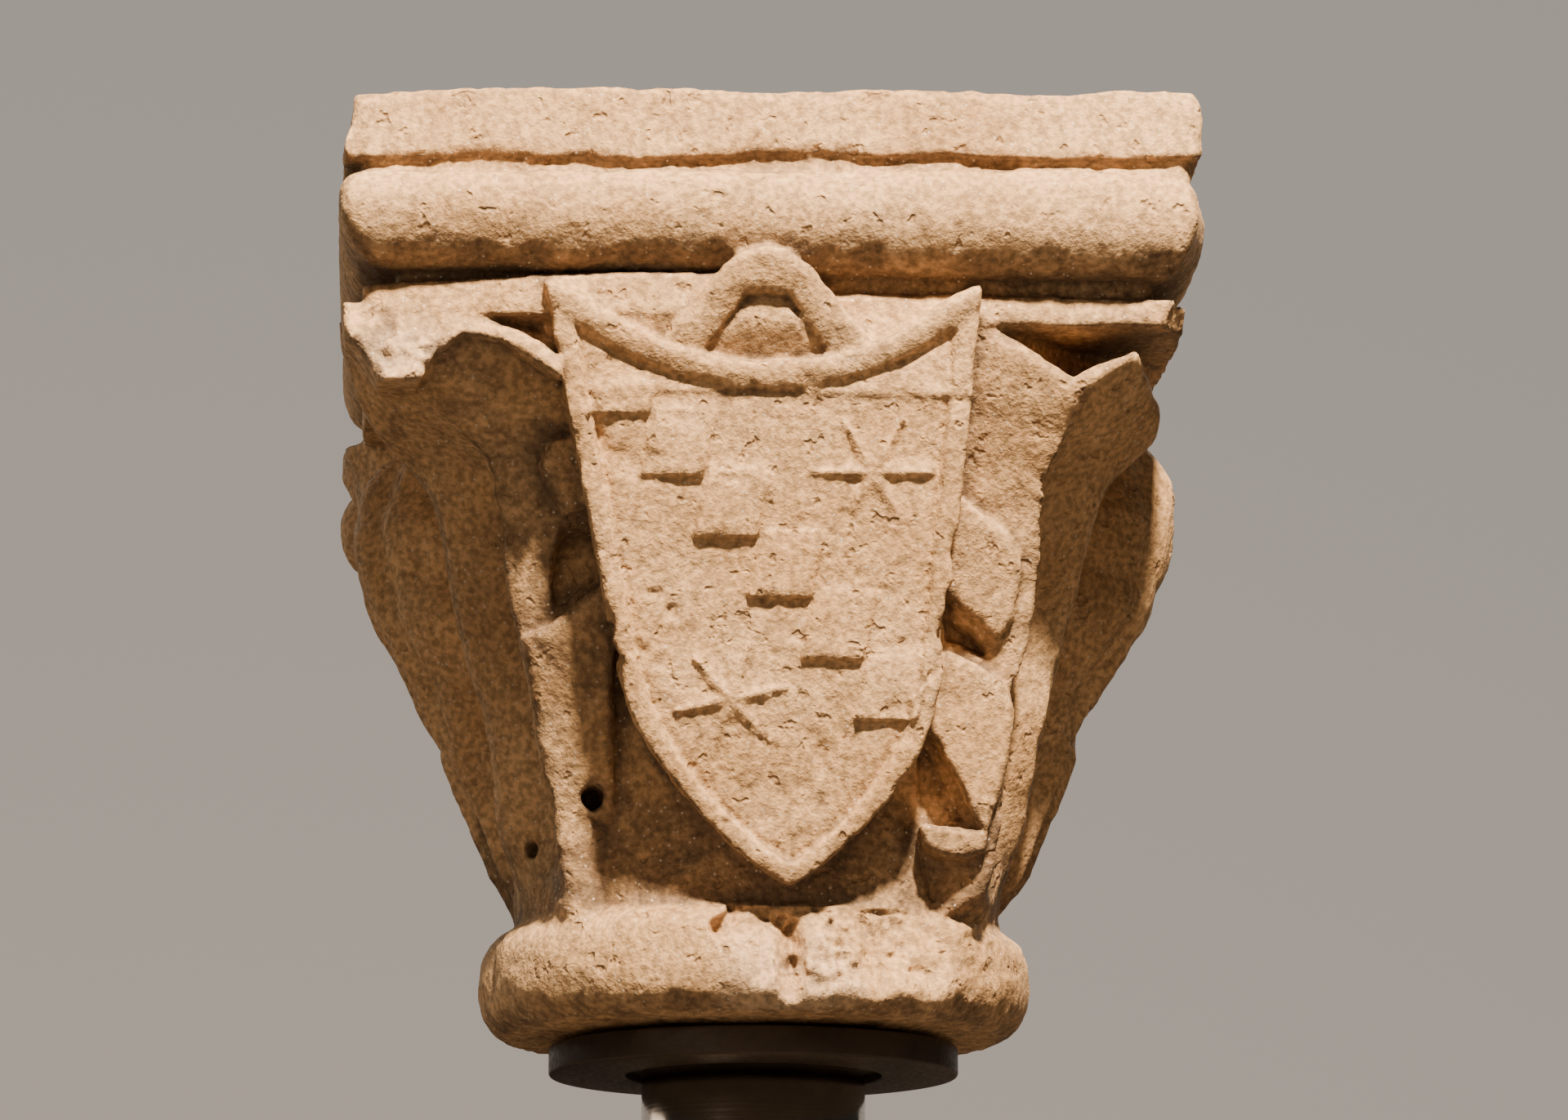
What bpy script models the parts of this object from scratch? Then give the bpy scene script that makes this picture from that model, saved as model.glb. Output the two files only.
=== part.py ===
"""A marble capital with a shield, carried by a plate, a tube and a round foot.

The axis of the capital is the Z axis and the foot stands on Z = 0. The face with the carved shield looks
along -Y. All sizes are in metres.
"""

from math import cos, hypot, pi, sin, sqrt, tau

import bmesh
import bpy
from mathutils import Matrix, Vector, noise

# Clearance between pieces that touch
CONTACT_GAP = 0.0003

# Stand
FOOT_RADIUS = 0.120
FOOT_HEIGHT = 0.012
FOOT_EDGE_BEVEL = 0.002
TUBE_RADIUS = 0.040
TUBE_VISIBLE_LENGTH = 0.100
DISC_RADIUS = 0.0733
DISC_HEIGHT = 0.0105
DISC_EDGE_BEVEL = 0.0008
DISC_SOCKET_DEPTH = 0.003
DISC_SOCKET_MARGIN = 0.006

# Neck ring
NECK_HALF_WIDTH = 0.086
RING_PROJECTION = 0.0133
RING_HEIGHT = 0.042
RING_BED_SETBACK = 0.0133
RING_BED_LIFT = 0.0022
RING_BREAK_DEPTH = 0.0075
RING_BREAK_ROUGHNESS = 0.0030
RING_BREAK_START = -0.20
RING_BREAK_END = 0.98
RING_RADIUS = NECK_HALF_WIDTH + RING_PROJECTION

# Bell
BELL_HEIGHT = 0.194
BELL_SINK = 0.006
NECK_SQUARENESS = 2.4
BELL_SQUARENESS = 4.6

# Abacus, from the bell upward
FILLET_HEIGHT = 0.0115
FILLET_HALF_WIDTH = 0.1430
FILLET_HALF_DEPTH = 0.1345
HOLLOW_HEIGHT = 0.0050
HOLLOW_SETBACK = 0.0060
ROLL_HEIGHT = 0.0370
ROLL_HALF_WIDTH = 0.1520
GROOVE_HEIGHT = 0.0037
GROOVE_DEPTH = 0.0040
SLAB_HEIGHT = 0.0238
SLAB_HALF_WIDTH = 0.1470
GROOVE_HALF_WIDTH = SLAB_HALF_WIDTH - GROOVE_DEPTH

# Corner leaves, as shares of the neck below and of the fillet above
LEAF_FOOT_REACH = 0.815 * NECK_HALF_WIDTH
LEAF_SHOULDER_REACH = 0.770 * FILLET_HALF_DEPTH
LEAF_CURL_REACH = 0.974 * FILLET_HALF_DEPTH
LEAF_NOTCHED_REACH = 0.892 * FILLET_HALF_DEPTH
LEAF_WING_START = 0.520 * NECK_HALF_WIDTH
LEAF_WING_PROUD = 0.0040
LEAF_RIB_PROUD = 0.0080
LEAF_RIB_SETBACK = 0.0300
LEAF_LOBE_DEPTH = 0.0070
LEAF_LOBES = 3
LEAF_CHANNEL_DEPTH = 0.0045
NOTCH_HEIGHT = 0.124 * BELL_HEIGHT
NOTCH_HALF_WIDTH = 0.0300

# Leaves of the side faces
SIDE_LEAF_START = 0.284 * BELL_HEIGHT
SIDE_LEAF_HEIGHT = 0.680 * BELL_HEIGHT
SIDE_LEAF_HALF_WIDTH = 0.0370
SIDE_LEAF_LOBE_DEPTH = 0.0060
SIDE_LEAF_FOOT_REACH = NECK_HALF_WIDTH + 0.0220
SIDE_LEAF_LEFT_REACH = ROLL_HALF_WIDTH - 0.0045
SIDE_LEAF_RIGHT_REACH = ROLL_HALF_WIDTH + 0.0045

# Shield, which leans from the neck ring out to the fillet
SHIELD_TIP_LIFT = 0.0020
SHIELD_TIP_PROUD = 0.0120
SHIELD_HORN_PROUD = 0.0095
SHIELD_HALF_WIDTH = 0.0755
SHIELD_DIP = 0.0281
SHIELD_LEAN = 0.0123
SHIELD_THICKNESS = 0.0200
SHIELD_RIM_WIDTH = 0.0072
SHIELD_TOP_RIM_WIDTH = 0.0105
SHIELD_RIM_RISE = 0.0022
SHIELD_TIP_REACH = NECK_HALF_WIDTH + SHIELD_TIP_PROUD
SHIELD_RUN = FILLET_HALF_DEPTH + SHIELD_HORN_PROUD - SHIELD_TIP_REACH
SHIELD_RISE = BELL_HEIGHT + 1.03 * FILLET_HEIGHT - SHIELD_TIP_LIFT
SHIELD_SLOPE = SHIELD_RUN / SHIELD_RISE
SHIELD_HEIGHT = hypot(SHIELD_RUN, SHIELD_RISE)
SHIELD_ROUND_HEIGHT = 0.354 * SHIELD_HEIGHT
SHIELD_ROUND_HALF_WIDTH = 0.744 * SHIELD_HALF_WIDTH

# Band of blocks and stars, as shares of the shield
BLOCK_COUNT = 6
BLOCK_RISE = 0.0018
BLOCK_WIDTH = 0.281 * SHIELD_HALF_WIDTH
BLOCK_HEIGHT = 0.113 * SHIELD_HEIGHT
BLOCK_STEP_ACROSS = 0.248 * SHIELD_HALF_WIDTH
BLOCK_STEP_DOWN = 0.0995 * SHIELD_HEIGHT
BLOCK_SLANT = 0.069 * SHIELD_HALF_WIDTH
BAND_START_ACROSS = -0.868 * SHIELD_HALF_WIDTH
BAND_START_UP = 0.774 * SHIELD_HEIGHT
STAR_RISE = 0.0020
STAR_RADIUS = 0.285 * SHIELD_HALF_WIDTH
STAR_WAIST = 0.27 * STAR_RADIUS
UPPER_STAR = (0.442 * SHIELD_HALF_WIDTH, 0.685 * SHIELD_HEIGHT)
LOWER_STAR = (-0.193 * SHIELD_HALF_WIDTH, 0.313 * SHIELD_HEIGHT)

# Strap above the shield
STRAP_HALF_SPAN = 0.0360
STRAP_FOOT_DROP = 0.0100
STRAP_BAND_WIDTH = 0.0125
STRAP_PROUD = 0.0065
STRAP_OVERLAP = 0.0100

# Heights that follow
TUBE_BASE = FOOT_HEIGHT
DISC_BASE = TUBE_BASE + TUBE_VISIBLE_LENGTH
BED_HEIGHT = DISC_BASE + DISC_HEIGHT
RING_TOP = BED_HEIGHT + RING_HEIGHT
BELL_TOP = RING_TOP + BELL_HEIGHT
FILLET_TOP = BELL_TOP + FILLET_HEIGHT
HOLLOW_TOP = FILLET_TOP + HOLLOW_HEIGHT
ROLL_TOP = HOLLOW_TOP + ROLL_HEIGHT
GROOVE_TOP = ROLL_TOP + GROOVE_HEIGHT
ABACUS_TOP = GROOVE_TOP + SLAB_HEIGHT

# Counts of faces
ROUND_SIDES = 64
BELL_SIDES = 48
LEAF_STEPS = 18
SIDE_LEAF_STEPS = 16


def ease(share):
    """Return a smooth rise from 0 to 1 for a share that runs from 0 to 1."""
    share = min(max(share, 0.0), 1.0)
    return share * share * (3.0 - 2.0 * share)


def blend(start, end, share):
    """Return the value that lies a given share of the way from start to end."""
    return start + (end - start) * share


def make_material(name, colour, roughness, metallic):
    """Return a plain material of one colour."""
    material = bpy.data.materials.new(name)
    material.use_nodes = True
    shader = material.node_tree.nodes["Principled BSDF"]
    shader.inputs["Base Color"].default_value = (*colour, 1.0)
    shader.inputs["Roughness"].default_value = roughness
    shader.inputs["Metallic"].default_value = metallic
    return material


def add_object(name, mesh_data, material=None, cutter=False):
    """Turn edited mesh data into a named object of the scene."""
    bmesh.ops.triangulate(mesh_data, faces=mesh_data.faces)
    bmesh.ops.recalc_face_normals(mesh_data, faces=mesh_data.faces)
    mesh = bpy.data.meshes.new(name)
    mesh_data.to_mesh(mesh)
    mesh_data.free()
    piece = bpy.data.objects.new(name, mesh)
    bpy.context.scene.collection.objects.link(piece)
    if material:
        mesh.materials.append(material)
    if cutter:
        piece.hide_render = True
        piece.display_type = "WIRE"
    return piece


def loft(rings):
    """Return mesh data of a closed solid through rings that have the same number of points."""
    mesh_data = bmesh.new()
    loops = [[mesh_data.verts.new(point) for point in ring] for ring in rings]
    for lower, upper in zip(loops, loops[1:]):
        for index in range(len(lower)):
            following = (index + 1) % len(lower)
            mesh_data.faces.new((lower[index], lower[following], upper[following], upper[index]))
    mesh_data.faces.new(reversed(loops[0]))
    mesh_data.faces.new(loops[-1])
    return mesh_data


def turned(profile, sides=ROUND_SIDES):
    """Return mesh data of a profile of (radius, height) turned about the Z axis."""
    mesh_data = bmesh.new()
    points = [mesh_data.verts.new((radius, 0.0, height)) for radius, height in profile]
    edges = [mesh_data.edges.new(pair) for pair in zip(points, points[1:])]
    bmesh.ops.spin(
        mesh_data,
        geom=points + edges,
        axis=(0, 0, 1),
        cent=(0, 0, 0),
        steps=sides,
        angle=tau,
        use_duplicate=False,
    )
    bmesh.ops.remove_doubles(mesh_data, verts=mesh_data.verts, dist=0.00001)
    return mesh_data


def smooth(piece, angle=0.6):
    """Shade a piece smooth but for its sharp edges."""
    piece.data.shade_smooth()
    piece.data.set_sharp_from_angle(angle=angle)


def combine(piece, group_name, others, operation):
    """Unite a group of solids with the piece, or cut them from it, in one step."""
    group = bpy.data.collections.new(group_name)
    for other in others:
        group.objects.link(other)
    step = piece.modifiers.new(group_name, "BOOLEAN")
    step.operation = operation
    step.solver = "EXACT"
    step.operand_type = "COLLECTION"
    step.collection = group


# Bell and abacus


def bell_half_width(share):
    """Return the bell's half width at a share of its height."""
    rise = max(share, 0.0) ** 1.6
    return blend(NECK_HALF_WIDTH, FILLET_HALF_DEPTH, rise)


def bell_ring(share):
    """Return one ring of the bell, round at the neck and squarer above."""
    half_width = bell_half_width(share)
    power = blend(NECK_SQUARENESS, BELL_SQUARENESS, ease(share))
    height = RING_TOP + BELL_HEIGHT * share
    ring = []
    for index in range(BELL_SIDES):
        angle = tau * (index + 0.5) / BELL_SIDES
        spread = (abs(cos(angle)) ** power + abs(sin(angle)) ** power) ** (1.0 / power)
        ring.append((half_width * cos(angle) / spread, half_width * sin(angle) / spread, height))
    return ring


def make_bell():
    """Build the bell from inside the neck ring into the abacus."""
    shares = [-BELL_SINK / BELL_HEIGHT] + [step / 10 for step in range(10)]
    shares.append(1.0 + 0.5 * FILLET_HEIGHT / BELL_HEIGHT)
    return add_object("bell", loft([bell_ring(share) for share in shares]), cutter=True)


def abacus_profile():
    """Return the abacus moulding as (half width, half depth, height), from below upward."""
    fillet = (FILLET_HALF_WIDTH, FILLET_HALF_DEPTH)
    profile = [(*fillet, BELL_TOP), (*fillet, FILLET_TOP)]
    setback = (FILLET_HALF_WIDTH - HOLLOW_SETBACK, FILLET_HALF_DEPTH - HOLLOW_SETBACK)
    profile.append((*setback, blend(FILLET_TOP, HOLLOW_TOP, 0.25)))
    profile.append((*setback, blend(FILLET_TOP, HOLLOW_TOP, 0.80)))
    roll_radius = 0.5 * ROLL_HEIGHT
    for step in range(9):
        angle = -0.5 * pi + pi * step / 8
        reach = ROLL_HALF_WIDTH - roll_radius * (1.0 - cos(angle)) * 0.75
        profile.append((reach, reach, HOLLOW_TOP + roll_radius * (1.0 + sin(angle))))
    profile.append((GROOVE_HALF_WIDTH, GROOVE_HALF_WIDTH, blend(ROLL_TOP, GROOVE_TOP, 0.30)))
    profile.append((GROOVE_HALF_WIDTH, GROOVE_HALF_WIDTH, blend(ROLL_TOP, GROOVE_TOP, 0.85)))
    profile.append((SLAB_HALF_WIDTH - 0.001, SLAB_HALF_WIDTH - 0.001, GROOVE_TOP))
    profile.append((SLAB_HALF_WIDTH, SLAB_HALF_WIDTH, GROOVE_TOP + 0.0015))
    profile.append((SLAB_HALF_WIDTH, SLAB_HALF_WIDTH, ABACUS_TOP - 0.0020))
    profile.append((SLAB_HALF_WIDTH - 0.002, SLAB_HALF_WIDTH - 0.002, ABACUS_TOP))
    return profile


def make_abacus():
    """Carry the abacus moulding round the square, with mitred corners worn round."""
    rings = []
    wear = 0.004
    for half_width, half_depth, height in abacus_profile():
        ring = []
        for side_x, side_y in ((1, 1), (-1, 1), (-1, -1), (1, -1)):
            near = (side_x * half_width, side_y * (half_depth - wear), height)
            far = (side_x * (half_width - wear), side_y * half_depth, height)
            ring.extend((near, far) if side_x * side_y > 0 else (far, near))
        rings.append(ring)
    return add_object("abacus", loft(rings), cutter=True)


# Neck ring


def make_neck_ring():
    """Turn the neck ring, whose bed lifts a little off the plate toward its edge."""
    profile = [(0.0, BED_HEIGHT), (DISC_RADIUS - RING_BED_SETBACK, BED_HEIGHT)]
    profile.append((DISC_RADIUS + 0.0015, BED_HEIGHT + RING_BED_LIFT))
    core = 0.5 * (NECK_HALF_WIDTH + DISC_RADIUS)
    middle = BED_HEIGHT + 0.5 * (RING_BED_LIFT + RING_HEIGHT) - 0.002
    half_height = middle - BED_HEIGHT - RING_BED_LIFT
    for step in range(1, 9):
        angle = -0.5 * pi + pi * step / 9
        height = middle + half_height * sin(angle)
        profile.append((core + (RING_RADIUS - core) * cos(angle) ** 0.75, height))
    profile.append((NECK_HALF_WIDTH + 0.002, RING_TOP - 0.001))
    profile.append((NECK_HALF_WIDTH - 0.008, RING_TOP))
    profile.append((0.0, RING_TOP))
    return add_object("neck_ring", turned(profile, 56), cutter=True)


def make_ring_break():
    """Build the rough shell that is broken away from the ring's front."""
    columns, levels = 18, 7
    outer_radius = RING_RADIUS + 0.02
    low, high = BED_HEIGHT - 0.004, RING_TOP + 0.004
    mesh_data = bmesh.new()
    inner, outer = [], []
    for column in range(columns + 1):
        across = column / columns
        angle = blend(RING_BREAK_START, RING_BREAK_END, across)
        inner_column, outer_column = [], []
        for level in range(levels + 1):
            height = blend(low, high, level / levels)
            seed = Vector((angle * 9.0, height * 110.0, 3.7))
            edge = ease(min(across * 6.0, (1.0 - across) * 5.0, 1.0))
            depth = RING_BREAK_DEPTH * blend(0.45, 1.25, level / levels) * edge
            radius = RING_RADIUS + 0.0015 - depth + RING_BREAK_ROUGHNESS * noise.noise(seed)
            lean = angle + 0.10 * noise.noise(seed + Vector((0.0, 2.0, 0.0)))
            inner_column.append(mesh_data.verts.new((radius * sin(lean), -radius * cos(lean), height)))
            far = (outer_radius * sin(angle), -outer_radius * cos(angle), height)
            outer_column.append(mesh_data.verts.new(far))
        inner.append(inner_column)
        outer.append(outer_column)
    for grid in (inner, outer):
        for first, second in zip(grid, grid[1:]):
            for level in range(levels):
                mesh_data.faces.new((first[level], second[level], second[level + 1], first[level + 1]))
    for level in (0, levels):
        for column in range(columns):
            corners = (inner[column], inner[column + 1], outer[column + 1], outer[column])
            mesh_data.faces.new([corner[level] for corner in corners])
    for column in (0, columns):
        for level in range(levels):
            near, far = inner[column], outer[column]
            mesh_data.faces.new((near[level], near[level + 1], far[level + 1], far[level]))
    return add_object("ring_break", mesh_data, cutter=True)


def make_rough_block(name, size, place, turn, roughness, seed):
    """Build a block with a broken-looking surface, to knock material off an edge or a corner."""
    mesh_data = bmesh.new()
    bmesh.ops.create_cube(mesh_data, size=1.0)
    bmesh.ops.subdivide_edges(mesh_data, edges=mesh_data.edges, cuts=4, use_grid_fill=True)
    bmesh.ops.scale(mesh_data, vec=size, verts=mesh_data.verts)
    for vert in mesh_data.verts:
        sample = vert.co * 70.0 + Vector((seed, 2.0 * seed, -seed))
        vert.co += noise.noise_vector(sample) * roughness
    rotation = Matrix.Rotation(turn[2], 4, "Z")
    rotation = rotation @ Matrix.Rotation(turn[1], 4, "Y") @ Matrix.Rotation(turn[0], 4, "X")
    bmesh.ops.transform(mesh_data, matrix=Matrix.Translation(place) @ rotation, verts=mesh_data.verts)
    return add_object(name, mesh_data, cutter=True)


# Corner leaves


def leaf_reach(share, curl_reach):
    """Return how far out a corner leaf's ridge stands along X and along Y."""
    stem = blend(LEAF_FOOT_REACH, LEAF_SHOULDER_REACH, min(share / 0.80, 1.0))
    return stem + (curl_reach - LEAF_SHOULDER_REACH) * ease((share - 0.78) / 0.17)


def leaf_section(share, curl_reach):
    """Return a corner leaf's section as (along the face, out from the axis) for the corner at +X and -Y."""
    half_width = bell_half_width(share)
    reach = leaf_reach(share, curl_reach)
    swell = ease(share / 0.25)
    curl = ease((share - 0.76) / 0.16)
    middle = 0.5 * (half_width + reach)
    wing = LEAF_WING_PROUD * (0.3 + 0.7 * swell)
    rib = middle + LEAF_RIB_PROUD * swell + 0.004 * curl
    lobe = LEAF_LOBE_DEPTH * abs(sin(LEAF_LOBES * pi * share)) * (1.0 - curl)
    rib_place = reach - LEAF_RIB_SETBACK - lobe
    front = [
        (LEAF_WING_START, half_width - 0.012),
        (LEAF_WING_START, half_width + 0.2 * wing),
        (blend(LEAF_WING_START, reach, 0.35), blend(half_width, reach, 0.25) + wing),
        (blend(LEAF_WING_START, reach, 0.70), blend(half_width, reach, 0.60) + wing),
        (reach - 0.007, reach + 0.003 + 0.002 * curl),
        (reach, reach),
    ]
    side = [
        (reach + 0.002 + 0.003 * curl, reach - 0.007),
        (middle - LEAF_CHANNEL_DEPTH * (1.0 - curl), reach - 0.4 * LEAF_RIB_SETBACK),
        (rib, rib_place),
        (blend(half_width, rib, 0.7), rib_place - 0.009),
        (half_width - 0.012, rib_place - 0.012),
    ]
    return front, side


def make_corner_leaf(name, side_x, side_y, curl_reach):
    """Build the leaf of one corner, from the neck ring up under the abacus."""
    rings = []
    for step in range(LEAF_STEPS + 1):
        share = blend(-0.02, 1.0 + 0.4 * FILLET_HEIGHT / BELL_HEIGHT, step / LEAF_STEPS)
        height = RING_TOP + BELL_HEIGHT * share
        front, side = leaf_section(max(share, 0.0), curl_reach)
        rings.append([(side_x * across, side_y * out, height) for across, out in front + side])
    return add_object(name, loft(rings), cutter=True)


def make_notch(side_x, side_y):
    """Build the wedge that is missing above the notched leaf, with its edge along the corner's diagonal."""
    diagonal = Vector((side_x, side_y, 0.0)).normalized()
    across = Vector((-side_y, side_x, 0.0)).normalized()
    start = diagonal * (LEAF_SHOULDER_REACH - 0.012) * sqrt(2.0)
    end = diagonal * (LEAF_CURL_REACH + 0.040) * sqrt(2.0)
    top, low = BELL_TOP - 0.0004, BELL_TOP - NOTCH_HEIGHT
    rings = []
    for centre, drop in ((start, 0.004), (end, 0.0)):
        ring = []
        for offset, height in ((-NOTCH_HALF_WIDTH, top), (0.0, low + drop), (NOTCH_HALF_WIDTH, top)):
            point = centre + across * offset
            ring.append((point.x, point.y, height))
        rings.append(ring)
    return add_object("leaf_notch", loft(rings), cutter=True)


def make_pocket(name, across, width, lower, height, depth):
    """Build a tapered pocket between two lobes of a front leaf, its heights as shares of the bell's."""
    face = bell_half_width(lower + 0.5 * height) + LEAF_WING_PROUD
    rings = []
    for out, shrink in ((face + 0.030, 1.0), (face - depth, 0.72)):
        ring = []
        for side_x, side_z in ((-1, -1), (1, -1), (1, 1), (-1, 1)):
            share = lower + height * (0.5 + 0.5 * side_z * shrink)
            ring.append((across + 0.5 * width * side_x * shrink, -out, RING_TOP + BELL_HEIGHT * share))
        rings.append(ring)
    return add_object(name, loft(rings), cutter=True)


# Leaves of the side faces


def side_leaf_reach(share, peak):
    """Return how far out the leaf of a side face stands at a share of its height."""
    if share < 0.62:
        return blend(SIDE_LEAF_FOOT_REACH, peak, sin(0.5 * pi * (share / 0.62) ** 1.15))
    fall = ease((share - 0.62) / 0.38)
    return blend(peak, FILLET_HALF_WIDTH - 0.004, fall)


def make_side_leaf(name, side_x, peak):
    """Build the bulging leaf in the middle of a side face, with a hollow vein."""
    rings = []
    for step in range(SIDE_LEAF_STEPS + 1):
        share = step / SIDE_LEAF_STEPS
        height = RING_TOP + SIDE_LEAF_START + SIDE_LEAF_HEIGHT * share
        reach = side_leaf_reach(share, peak)
        half_width = SIDE_LEAF_HALF_WIDTH * (0.45 + 0.55 * sin(pi * min(share * 0.9 + 0.12, 1.0)))
        half_width += SIDE_LEAF_LOBE_DEPTH * (abs(cos(2.5 * pi * share)) - 0.5)
        back = bell_half_width((height - RING_TOP) / BELL_HEIGHT) - 0.012
        ring = [(side_x * back, -half_width, height)]
        for turn in range(9):
            angle = pi * turn / 8
            vein = 0.006 * (turn in (2, 6)) + 0.004 * (turn == 4)
            out = back + (reach - back - vein) * sin(angle) ** 0.55 if 0 < turn < 8 else back + 0.006
            ring.append((side_x * out, -half_width * cos(angle), height))
        ring.append((side_x * back, half_width, height))
        rings.append(ring)
    return add_object(name, loft(rings), cutter=True)


# Shield


def shield_half_width(up, side_inset, tip_inset):
    """Return the shield's half width at a height above its tip."""
    lift = max(up - tip_inset, 0.0)
    straight_slope = (SHIELD_HALF_WIDTH - SHIELD_ROUND_HALF_WIDTH) / (SHIELD_HEIGHT - SHIELD_ROUND_HEIGHT)
    straight = SHIELD_ROUND_HALF_WIDTH + straight_slope * (up - SHIELD_ROUND_HEIGHT)
    remaining = 1.0 - min(lift / SHIELD_ROUND_HEIGHT, 1.0)
    rounding = (1.0 - remaining * remaining) ** 0.8
    return max(straight - side_inset, 0.0) * rounding


def shield_outline(side_inset, top_inset, tip_inset):
    """Return the shield's outline in its own plane, as (across, up) from its tip, with a hollow top edge."""
    levels, arc_steps = 16, 12
    corner_up = SHIELD_HEIGHT - top_inset * 1.3
    right = []
    for step in range(levels + 1):
        up = blend(tip_inset, corner_up, (step / levels) ** 1.5)
        right.append((shield_half_width(up, side_inset, tip_inset), up))
    top = []
    half_width = right[-1][0]
    for step in range(1, arc_steps):
        across = blend(half_width, -half_width, step / arc_steps)
        bow = 1.0 - (across / half_width) ** 2
        top.append((across, corner_up - (SHIELD_DIP - 0.3 * top_inset) * bow))
    left = [(-across, up) for across, up in reversed(right[1:])]
    outline = right + top + left
    lean = SHIELD_LEAN / SHIELD_HEIGHT
    return [(across - lean * (up - 0.55 * SHIELD_HEIGHT), up) for across, up in outline]


def shield_point(across, up, out, side_y=-1):
    """Place a point of the shield's plane on the capital, with out measured off the field's rim plane."""
    slope_length = sqrt(1.0 + SHIELD_SLOPE * SHIELD_SLOPE)
    reach = SHIELD_TIP_REACH + (up * SHIELD_SLOPE + out) / slope_length
    height = RING_TOP + SHIELD_TIP_LIFT + (up - out * SHIELD_SLOPE) / slope_length
    return (-side_y * across if side_y > 0 else across, side_y * reach, height)


def make_shield(name, side_y):
    """Build a shield with a raised rim on the face that looks along Y times side_y."""
    outer = shield_outline(0.0, 0.0, 0.0)
    inner = shield_outline(SHIELD_RIM_WIDTH, SHIELD_TOP_RIM_WIDTH, 1.35 * SHIELD_RIM_WIDTH)
    rings = [
        [shield_point(across, up, -SHIELD_THICKNESS, side_y) for across, up in outer],
        [shield_point(across, up, 0.0, side_y) for across, up in outer],
        [shield_point(across, up, 0.0, side_y) for across, up in inner],
        [shield_point(across, up, -SHIELD_RIM_RISE, side_y) for across, up in inner],
    ]
    return add_object(name, loft(rings), cutter=True)


def make_block(index):
    """Build one block of the stepped band, standing on the shield's field."""
    left = BAND_START_ACROSS + BLOCK_STEP_ACROSS * index
    base = BAND_START_UP - BLOCK_STEP_DOWN * index
    height = BLOCK_HEIGHT if index else 0.5 * BLOCK_HEIGHT
    corners = (
        (left, base),
        (left + BLOCK_WIDTH, base),
        (left + BLOCK_WIDTH + BLOCK_SLANT, base + height),
        (left + BLOCK_SLANT, base + height),
    )
    rings = []
    for out in (-SHIELD_RIM_RISE - 0.004, -SHIELD_RIM_RISE + BLOCK_RISE + 0.0001 * index):
        rings.append([shield_point(across, up, out) for across, up in corners])
    return add_object(f"band_block_{index + 1}", loft(rings), cutter=True)


def make_star(name, centre, turn):
    """Build a six-rayed star whose rays rise to ridges."""
    mesh_data = bmesh.new()
    base, rim = [], []
    for index in range(12):
        angle = turn + pi * index / 6
        radius = STAR_RADIUS if index % 2 == 0 else STAR_WAIST
        across, up = centre[0] + radius * sin(angle), centre[1] + radius * cos(angle)
        base.append(mesh_data.verts.new(shield_point(across, up, -SHIELD_RIM_RISE - 0.004)))
        rim.append(mesh_data.verts.new(shield_point(across, up, -SHIELD_RIM_RISE + 0.0002)))
    peak = mesh_data.verts.new(shield_point(*centre, -SHIELD_RIM_RISE + STAR_RISE))
    for index in range(12):
        following = (index + 1) % 12
        mesh_data.faces.new((base[index], base[following], rim[following], rim[index]))
        mesh_data.faces.new((rim[index], rim[following], peak))
    mesh_data.faces.new(base)
    return add_object(name, mesh_data, cutter=True)


# Strap


def strap_outline(inset):
    """Return one edge of the strap's arch as (across, height), from its left foot over the top."""
    half_span = STRAP_HALF_SPAN - inset
    top = HOLLOW_TOP + STRAP_OVERLAP - 1.15 * inset
    points = []
    for share in (-1.0, -0.62, -0.42, -0.22, 0.0, 0.22, 0.42, 0.62, 1.0):
        drop = abs(share) ** 1.7
        points.append((-0.004 + half_span * share, blend(top, BELL_TOP - STRAP_FOOT_DROP, drop)))
    return points


def make_strap():
    """Build the strap that carries the shield, as an arch that meets the roll above it."""
    outline = strap_outline(0.0) + list(reversed(strap_outline(STRAP_BAND_WIDTH)))
    rings = []
    for out in (FILLET_HALF_DEPTH - HOLLOW_SETBACK - 0.006, FILLET_HALF_DEPTH + STRAP_PROUD):
        rings.append([(across, -out, height) for across, height in outline])
    return add_object("strap", loft(rings), cutter=True)


# The capital and its stand


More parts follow.
